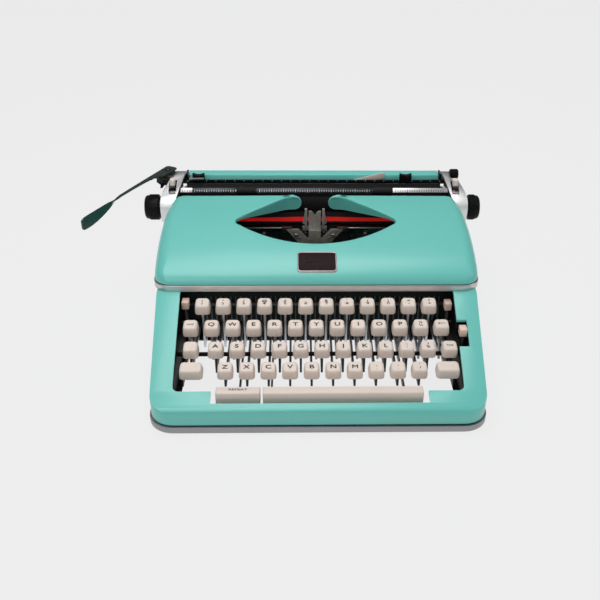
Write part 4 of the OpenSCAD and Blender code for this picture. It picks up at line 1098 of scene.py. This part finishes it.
def build_type_works():
    softened_copy("type_guide", "type_guide_plate", "dull", 0.22, 2)
    softened_copy("ribbon_vibrator", "vibrator_fins", "fin", 0.18, 2)
    screws = Shape()
    for s in (-1, 1):
        add_screw(screws, s * 19.5, 71.0, 98.3, 2.3)
        add_screw(screws, s * 15.4, 68.2, 98.3, 1.2)
        add_screw(screws, s * 9.6, 75.0, 98.3, 0.7)
        add_screw(screws, s * 5.2, 84.0, 101.9, 0.6)
    attach(screws.build("guide_screws", "silver", "black", angle=30), body="base")
    finish_nodes(type_segment="segment", chassis_frame="chassis")
    rail = Shape()
    for s in (-1, 1):
        rail.turned([(0.7, x) for x in sorted((s * 24, s * 74))], "x", (101.5, 78.5), 12)
        rail.block(*sorted((s * 24, s * 35)), 98.5, 101.5, 74.5, 80.5, 1)
        rail.block(*sorted((s * 52, s * 55)), 99.0, 102.0, 71.0, 74.0, 0)
    attach(rail.build("ribbon_rail", "fin", "type", bevel=0.3), body="base")


def ribbon_path():
    """Middle line of the right half of the ribbon in plan, from the printing point to the spool."""
    post = RIBBON_TURN
    reach = SPOOL_R - 7.5
    dx, dy = post[0] - SPOOL_X, post[1] - SPOOL_Y
    angle = math.atan2(dy, dx) + math.acos(reach / math.hypot(dx, dy))
    touch = (SPOOL_X + reach * math.cos(angle), SPOOL_Y + reach * math.sin(angle))
    return [(0.0, RIBBON_Y), (14.0, RIBBON_Y), post, touch]


def build_ribbon():
    corners = ribbon_path()
    fine = []
    for a, b in zip(corners, corners[1:]):
        steps = max(2, int(math.dist(a, b) / 2.5))
        fine += [(a[0] + (b[0] - a[0]) * i / steps, a[1] + (b[1] - a[1]) * i / steps) for i in range(steps)]
    fine.append(corners[-1])
    for name, side in (("left", -1), ("right", 1)):
        tape = Shape()
        for low, high, finish in ((0.0, 2.0, 1), (2.0, 7.2, 0), (7.2, RIBBON_W, 1)):
            rings = []
            for i, (x, y) in enumerate(fine):
                a, b = fine[max(i - 1, 0)], fine[min(i + 1, len(fine) - 1)]
                length = math.dist(a, b)
                nx, ny = -(b[1] - a[1]) / length * 0.1, (b[0] - a[0]) / length * 0.1
                wave = 0.12 * math.sin(x * 0.35) * (x > 16)
                drift = clamped((x - 20) / 64) * 1.6
                z0, z1 = RIBBON_Z + low + drift * (low == 2.0), RIBBON_Z + high + drift * (high == 2.0)
                rings.append([(side * (x - nx), y - ny + wave, z0), (side * (x + nx), y + ny + wave, z0),
                              (side * (x + nx), y + ny + wave, z1), (side * (x - nx), y - ny + wave, z1)])
            tape.loft(rings, finish)
        piece = tape.build(f"ribbon_{name}", "ribbon_red", "ribbon_black", angle=40)
        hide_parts("ribbon")
        placed((side * 21, RIBBON_Y, 87))
        placed((side * 13, RIBBON_Y, 87))
        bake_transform(piece)
        roll = Shape()
        for low, high, finish in ((0.2, 8.2, 0), (8.2, 14.6, 1)):
            roll.turned([(15.05, SPOOL_Z + 1 + low), (15.4, SPOOL_Z + 1 + low), (15.4, SPOOL_Z + 1 + high),
                         (15.05, SPOOL_Z + 1 + high)], "z", (side * SPOOL_X, SPOOL_Y), 40, finish)
        rolled = roll.build(f"ribbon_roll_{name}", "ribbon_red", "ribbon_black")
        attach(rolled, body=f"{name}_spool")
        softened_copy(f"ribbon_spool_{name}", f"spool_{name}", "gloss", 0.25, 2)


# ---- Carriage ----


def build_end_covers():
    for side in ("left", "right"):
        softened_copy(f"end_cover_{side}", f"end_cap_{side}", "end", 0.9)


def build_platen(ring):
    finish_nodes(platen="platen", paper_pan="chassis", feed_rollers="rubber")
    for side, length, s in (("left", 18.2, -1), ("right", 14.8, 1)):
        knob = Shape()
        x = END_OUT + GAP
        l, ribbed = length, length - 9.4
        profile = [(4.4, 0.0), (11.0, 0.0), (11.5, 0.4), (11.5, 2.4), (11.9, 2.9), (13.1, 3.2), (13.45, 3.7),
                   (13.45, l - 5.2), (13.3, l - 4.8), (12.75, l - 4.6), (12.7, l - 3.0), (12.3, l - 1.7),
                   (11.5, l - 0.7), (10.3, l - 0.12), (9.0, l), (6.4, l), (5.8, l - 0.7), (5.2, l - 1.0),
                   (0.01, l - 1.0)]
        knob.turned([(r, s * (x + a)) for r, a in profile], "x", (PLATEN_Y, PLATEN_Z), 72)
        attach(knob.build(f"knob_{side}", "black", angle=30), "platen_knobs")
        middle = Matrix.Translation((s * (x + 3.9 + ribbed / 2), PLATEN_Y, PLATEN_Z))
        ribs = grown(f"knob_ribs_{side}", ring, {
            "Count": 72, "Pitch": 13.36, "Bar size": (ribbed, 0.5, 0.42), "Every": 1000, "Longer": 0.0,
            "Finish": "black"}, middle)
        attach(ribs, body="platen_roller")


def strip_matrix():
    return Matrix.Translation((0, BAIL_Y, BAIL_Z)) @ Matrix.Rotation(math.radians(-BAIL_TILT), 4, "X")


def build_bail(row):
    """The paper bail: a rod on two arms, three lengths of scale and two rollers."""
    inner = ROLLER_X - ROLLER_L / 2 - 0.5
    outer = ROLLER_X + ROLLER_L / 2 + 0.5
    end, change = 142.0, 129.5
    strips = [(-end, -change, "silver"), (-change, -outer, "blued"), (-inner, inner, "blued"),
              (outer, end, "silver")]
    rod = Shape()
    rod.turned([(1.2, -140.0), (1.2, 140.0)], "x", (BAIL_Y, BAIL_Z), 16)
    for s in (-1, 1):
        side = [(BAIL_Y - 2, BAIL_Z - 1.5), (150, 101), (151.5, 104.5), (BAIL_Y + 1, BAIL_Z + 2),
                (BAIL_Y - 2, BAIL_Z + 1)]
        rod.prism(side, "x", *sorted((s * 138.0, s * 140.0)))
        rod.turned([(1.5, x) for x in sorted((s * 140.0, s * 146.4))], "x", (149.0, 103.5), 16)
    attach(rod.build("bail_rod", "silver", bevel=0.3), "paper_bail")
    for number, (x0, x1, finish) in enumerate(strips):
        strip = Shape()
        strip.prism([(-1.9, -2.4), (-0.9, -2.4), (-0.9, 2.4), (-1.9, 2.4)], "x", x0, x1)
        strip.moved(strip_matrix())
        attach(strip.build(f"bail_scale_{number}", finish, bevel=0.15), body="bail")
        pitch = 2.54
        start = math.ceil((x0 + 1.2) / pitch)
        count = int((x1 - 1.2) / pitch) - start + 1
        ticks = grown(f"bail_ticks_{number}", row, {
            "Count": count, "Pitch": pitch, "Bar size": (0.55, 0.1, 1.9), "Every": 5, "Longer": 0.7,
            "Finish": "ink" if finish == "silver" else "white"},
            strip_matrix() @ Matrix.Translation((start * pitch, -1.92, -0.6)))
        attach(ticks, body="bail")
    rolls = Shape()
    for x in (-ROLLER_X, ROLLER_X):
        half = ROLLER_L / 2
        rolls.turned([(1.4, x - half), (2.9, x - half), (ROLLER_R, x - half + 0.6), (ROLLER_R, x - 0.4),
                      (ROLLER_R - 0.15, x), (ROLLER_R, x + 0.4), (ROLLER_R, x + half - 0.6), (2.9, x + half),
                      (1.4, x + half)],
                     "x", (BAIL_Y, BAIL_Z), 32)
    attach(rolls.build("bail_roller_pair", "rubber", angle=40), "bail_rollers")


def build_paper_parts(row):
    softened_copy("paper_table", "paper_rest", "mint", 0.35, 2)
    finish_nodes(carriage_frame="chassis", margin_rail="gloss")
    marks = grown("margin_marks", row, {
        "Count": 28, "Pitch": 10.16, "Bar size": (0.5, 0.12, 1.2), "Every": 1000, "Longer": 0.0,
        "Finish": "white"}, Matrix.Translation((-137.16, 153.95, 109.4)))
    attach(marks, body="carriage")
    softened_copy("margin_stop_left", "margin_slider_left", "black", 0.5)
    softened_copy("margin_stop_right", "margin_slider_right", "black", 0.5)
    softened_copy("carriage_release_levers", "carriage_levers", "tab", 0.8)
    softened_copy("paper_release_lever", "paper_lever", "black", 1.0)
    grip = Shape()
    grip_y, grip_z, grip_r, ribs, rib = 156.6, 116.4, 5.0, 14, 0.45
    grip.turned([(0.01, 147.7), (4.6, 147.7), (grip_r, 148.2), (grip_r, 156.4), (4.6, 156.9), (0.01, 156.9)],
                "x", (grip_y, grip_z), 30)
    for y, z in arc(grip_y, grip_z, grip_r, 0, 360, ribs)[:-1]:
        grip.block(148.6, 156.0, y - rib, y + rib, z - rib, z + rib)
    attach(grip.build("paper_lever_grip", "black", angle=30), body="paper_release")
    softened_copy("paper_support_arm", "paper_arm", "cream", 0.3, 2)
    clips = Shape()
    for s in (-1, 1):
        x = s * (END_IN + 5)
        clips.block(x - 3.4, x + 3.4, 127.5, 130.6, 106.9, 108.0)
    clips.prism([(147.2, 107.6), (154.6, 107.9), (153.2, 106.3), (149.4, 102.8)], "y", 127.2, 128.4)
    clips.prism([(-147.2, 107.6), (-153.6, 107.9), (-151.4, 104.8)], "y", 127.2, 128.4)
    clips.block(-136.9, -135.1, 158.6, 159.8, 104.5, 117.2)
    attach(clips.build("lever_clips", "rim", bevel=0.4), body="carriage")
    strap = Shape()
    strap.block(-134.6, -119.2, 149.7, 150.4, 111.9, 114.4)
    attach(strap.build("stop_strap", "silver", bevel=0.2), body="left_stop")
    works = Shape()
    for s in (-1, 1):
        works.block(*sorted((s * 137.5, s * 139.6)), 160.8, 172.5, 99.0, 114.6)
    works.prism([(-170.0, 110.5), (-169.3, 115.4), (-156.0, 115.6), (-156.0, 107.5), (-161.5, 107.0),
                 (-164.2, 103.6), (-166.6, 103.2), (-166.0, 107.2)], "y", 147.4, 148.8)
    works.block(-168.8, -160.2, 148.8, 155.2, 112.8, 114.4)
    works.turned([(1.7, 145.6), (1.7, 147.6), (1.2, 148.0), (0.01, 148.1)], "y", (111.4, -162.6), 18)
    attach(works.build("line_space_works", "gloss", bevel=0.25), body="carriage")


def build_return_lever():
    """A flat strip from its pivot that twists into an upright paddle."""
    a = math.radians(RETURN_TURN)

    def local(lx, ly, z):
        x, y = lx * math.cos(a) + ly * math.sin(a), ly * math.cos(a) - lx * math.sin(a)
        return (RETURN_X + x, RETURN_Y + y, z)

    strip = Shape()
    stations = [(9.0, 8.0), (8.2, 12.0), (6.5, 13.8), (0.0, 14.0), (-8.0, 13.2), (-14.0, 10.8), (-20.0, 7.9),
                (-28.0, 6.0), (-38.0, 4.9), (-50.0, 4.3), (-60.0, 3.9), (-70.0, 3.6), (-77.0, 3.5),
                (-82.0, 3.6), (-86.0, 4.0), (-90.0, 4.8), (-94.0, 6.0), (-98.0, 7.2), (-103.0, 8.6),
                (-109.0, 10.2), (-117.0, 11.9), (-126.0, 12.9), (-132.0, 13.0), (-136.0, 12.6),
                (-138.4, 11.6), (-139.5, 9.8), (-140.0, 7.4)]
    rings = []
    for ly, wide in stations:
        roll = math.pi / 2 * eased((-76.0 - ly) / 24.0)
        half, thick = wide / 2, 0.8
        aside = -min(5.0, max(0.0, (14.0 - wide) / 2)) if -86 < ly < 0 else -5.0 * (ly < 0)
        section = [(-half, 0.3), (-half, -0.3), (-half + 0.5, -thick), (half - 0.5, -thick), (half, -0.3),
                   (half, 0.3), (half - 0.5, thick), (-half + 0.5, thick)]
        lift = RETURN_TOP - (half if ly > -130 else 6.5) * math.sin(roll) - thick * math.cos(roll)
        ring = []
        for u, v in section:
            across, height = u * math.cos(roll) - v * math.sin(roll), u * math.sin(roll) + v * math.cos(roll)
            ring.append(local(aside + across, ly, lift + height))
        rings.append(ring)
    strip.loft(rings)
    attach(strip.build("return_strip", "chrome", angle=40), "return_lever")
    boss = Shape()
    pivot = [(2.4, 104.0), (2.4, 116.9), (6.0, 116.9), (6.0, 119.9), (2.0, 119.9)]
    boss.turned(pivot, "z", (RETURN_X, RETURN_Y), 32)
    boss.turned([(3.4, 121.5), (3.4, 122.2), (2.6, 122.6), (0.01, 122.7)], "z", (RETURN_X, RETURN_Y), 24)
    for x0, x1, ly in ((-5.9, -5.6, -24), (5.9, 0.4, -19)):
        corners = (x0 - 0.6, 4), (x0 + 0.6, 4), (x1 + 0.6, ly), (x1 - 0.6, ly)
        boss.prism([local(x, y, 0)[:2] for x, y in corners], "z", 117.1, 120.1)
    centre = local(-2.2, -15, 0)
    boss.turned([(3.6, 117.1), (3.6, 120.1)], "z", centre[:2], 28)
    attach(boss.build("return_boss", "bracket", bevel=0.25), body="return_arm")


# ---- Drive and underside ----


def build_drive():
    finish_nodes(carriage_rail="comb_bar", mainspring_drum="silver", escapement_wheel="brass",
                 rubber_feet="rubber", bottom_pan="chassis")
    bell = Shape()
    outer = arc(0, 18, 17.0, 0, 84, 14)
    inner = arc(0, 18, 15.6, 84, 0, 14)
    profile = outer + [(2.0, 34.9), (2.0, 33.5)] + inner
    bell.turned(profile + [profile[0]], "z", (96.0, 136.0), 48)
    attach(bell.build("bell_dome", "brass", angle=40), "margin_bell")


# ---- Camera, light and floor ----


def build_stage():
    scene = bpy.context.scene
    scene.view_settings.view_transform = "Standard"
    tilt, yaw, roll, distance, focal = 0.5734, 0.0279, 0.0120, 749.02, 827.5
    ahead = Vector((math.sin(yaw) * math.cos(tilt), math.cos(yaw) * math.cos(tilt), -math.sin(tilt)))
    right = Vector((math.cos(yaw), -math.sin(yaw), 0))
    above = right.cross(ahead)
    side = right * math.cos(roll) + above * math.sin(roll)
    head = above * math.cos(roll) - right * math.sin(roll)
    lens = bpy.data.cameras.new("Viewpoint")
    camera = linked("Viewpoint", lens)
    turn = Matrix((side, head, -ahead)).transposed()
    camera.matrix_world = Matrix.Translation(placed(Vector((0, -60, 60)) - ahead * distance)) @ turn.to_4x4()
    width, centre_x, centre_y, sensor = 600, 317.86, 325.47, 36.0
    lens.sensor_width, lens.lens = sensor, sensor * focal / width
    lens.shift_x, lens.shift_y = (width / 2 - centre_x) / width, (centre_y - width / 2) / width
    lens.clip_start, lens.clip_end = 0.01, 50
    scene.camera = camera

    look = scene.typewriter_stage
    ground = bpy.data.meshes.new("studio_floor")
    ground.from_pydata([(-6, -6, 0), (6, -6, 0), (6, 8, 0), (-6, 8, 0)], [], [(0, 1, 2, 3)])
    floor = linked("studio_floor", ground)
    f = Finish("studio_paper")
    grain = f.noise(3, 2)
    paper = f.mixed(grain * 0.3, (0.80, 0.80, 0.80), (0.84, 0.84, 0.84))
    f.done(paper, 0.9)
    glow = f.node("ShaderNodeEmission", {}, {"Color": (*look.backdrop, 1), "Strength": 1.0})
    surface = Value(f, f.shader.outputs[0])
    both = f.node("ShaderNodeMixShader", {}, [look.evenness, surface, glow])
    f.tree.links.new(both.socket, f.tree.nodes["Material Output"].inputs[0])
    ground.materials.append(f.material)

    world = bpy.data.worlds.new("Studio")
    scene.world = world
    world.use_nodes = True
    tree = world.node_tree
    back = tree.nodes["Background"]
    place = tree.nodes.new("ShaderNodeTexCoord")
    split = tree.nodes.new("ShaderNodeSeparateXYZ")
    ramp = tree.nodes.new("ShaderNodeValToRGB")
    low, high = ramp.color_ramp.elements
    low.position, low.color = 0.0, (0.30, 0.30, 0.31, 1)
    high.position, high.color = 0.8, (0.85, 0.86, 0.88, 1)
    tree.links.new(place.outputs["Generated"], split.inputs[0])
    tree.links.new(split.outputs[2], ramp.inputs[0])
    tree.links.new(ramp.outputs[0], back.inputs[0])
    back.inputs[1].default_value = look.fill

    # name, place, size, power and aim of each lamp
    lamps = (("overhead", (-0.13, 0.05, 1.15), (1.3, 0.6), 17.2, (0, 0.0, 0)),
             ("front", (-0.5, -1.3, 1.0), (0.9, 0.7), 6.5, (0, 0, 0.06)),
             ("right", (1.3, -0.2, 0.8), (0.5, 0.8), 4.0, (0, 0, 0.06)))
    for name, where, size, power, aim in lamps:
        light = bpy.data.lights.new(name, "AREA")
        light.shape, light.energy = "RECTANGLE", power * look.light
        light.size, light.size_y = size
        lamp = linked(name, light)
        lamp.location = where
        lamp.rotation_euler = (Vector(aim) - Vector(where)).to_track_quat("-Z", "Y").to_euler()


# ---- Add-on ----


class CasingSettings(bpy.types.PropertyGroup):
    """What a user would change on the casing."""

    colour: FloatVectorProperty(
        name="Casing colour", description="Colour of the enamel", subtype="COLOR",
        size=3, min=0, max=1, default=(0.145, 0.570, 0.505))
    badge_width: FloatProperty(
        name="Badge width", description="Width of the blank plate on the nose, in millimetres",
        default=37.0, min=20, max=60)


class KeySettings(bpy.types.PropertyGroup):
    """What a user would change on the keys."""

    colour: FloatVectorProperty(
        name="Key colour", description="Colour of the caps", subtype="COLOR",
        size=3, min=0, max=1, default=(0.80, 0.705, 0.635))
    legend_size: FloatProperty(
        name="Lettering size", description="Height of a line of letters, in millimetres",
        default=6.4, min=3, max=8)
    space_length: FloatProperty(
        name="Space bar length", description="Length of the space bar, in millimetres",
        default=139.0, min=120, max=142)


class StageSettings(bpy.types.PropertyGroup):
    """What a user would change about the light and the floor."""

    backdrop: FloatVectorProperty(
        name="Backdrop", description="Colour of the floor's own glow", subtype="COLOR",
        size=3, min=0, max=1, default=(0.86, 0.86, 0.865))
    evenness: FloatProperty(
        name="Evenness", description="Share of the floor that is not shaded by the object",
        subtype="FACTOR", default=0.93, min=0, max=1)
    light: FloatProperty(
        name="Lamps", description="Strength of the soft lamps", default=0.5, min=0, max=5)
    fill: FloatProperty(
        name="Fill", description="Strength of the surrounding light", default=0.4, min=0, max=3)


STEPS = []


def step(name, label, text, work):
    """Makes the operator of one group of pieces."""

    def execute(self, context):
        work()
        return {"FINISHED"}

    kind = type("TYPEWRITER_OT_" + name, (bpy.types.Operator,), {
        "bl_idname": "typewriter." + name, "bl_label": label, "__doc__": text, "execute": execute})
    STEPS.append(kind)
    return kind


def casing_work():
    softened_copy("lower_shell", "casing_shell", "mint", 1.5)
    softened_copy("base_tray", "base_rim", "base", 0.8)
    build_cover()
    build_trim()
    build_badge()


def keyboard_work():
    build_columns()
    build_special_keys()
    build_bars()
    build_selectors()
    build_comb(repeat_tree("Row of bars", False))


def carriage_work():
    row, ring = repeat_tree("Row of marks", False), repeat_tree("Ring of ribs", True)
    build_end_covers()
    build_platen(ring)
    build_bail(row)
    build_paper_parts(row)
    build_return_lever()


def type_work():
    build_type_works()
    build_type_bars()
    build_ribbon()
    build_drive()


step("finishes", "Finishes", "Make every finish", make_finishes)
step("casing", "Casing", "Build the shell, cover, trim and blank badge", casing_work)
step("keyboard", "Keyboard", "Build the keys, bars, small levers and comb", keyboard_work)
step("type_works", "Type works", "Build the type bars, guide, ribbon, spools and drive", type_work)
step("carriage", "Carriage", "Build the end covers, platen, bail, stops and return lever", carriage_work)
step("stage", "Stage", "Place the camera, the lamps and the floor", build_stage)


class TYPEWRITER_PT_panel(bpy.types.Panel):
    """Lists the steps and what can be changed."""

    bl_label = "Typewriter"
    bl_space_type = "VIEW_3D"
    bl_region_type = "UI"
    bl_category = "Typewriter"

    def draw(self, context):
        scene = context.scene
        for group in (scene.typewriter_casing, scene.typewriter_keys, scene.typewriter_stage):
            for name in group.__annotations__:
                self.layout.prop(group, name)
        for kind in STEPS:
            self.layout.operator(kind.bl_idname)


GROUPS = {"typewriter_casing": CasingSettings, "typewriter_keys": KeySettings,
          "typewriter_stage": StageSettings}


def register():
    for name, kind in GROUPS.items():
        bpy.utils.register_class(kind)
        setattr(bpy.types.Scene, name, PointerProperty(type=kind))
    for kind in [*STEPS, TYPEWRITER_PT_panel]:
        bpy.utils.register_class(kind)


def unregister():
    for kind in [TYPEWRITER_PT_panel, *STEPS]:
        bpy.utils.unregister_class(kind)
    for name, kind in GROUPS.items():
        delattr(bpy.types.Scene, name)
        bpy.utils.unregister_class(kind)


def main():
    register()
    for kind in STEPS:
        group, name = kind.bl_idname.split(".")
        getattr(getattr(bpy.ops, group), name)()


if __name__ == "__main__":
    main()
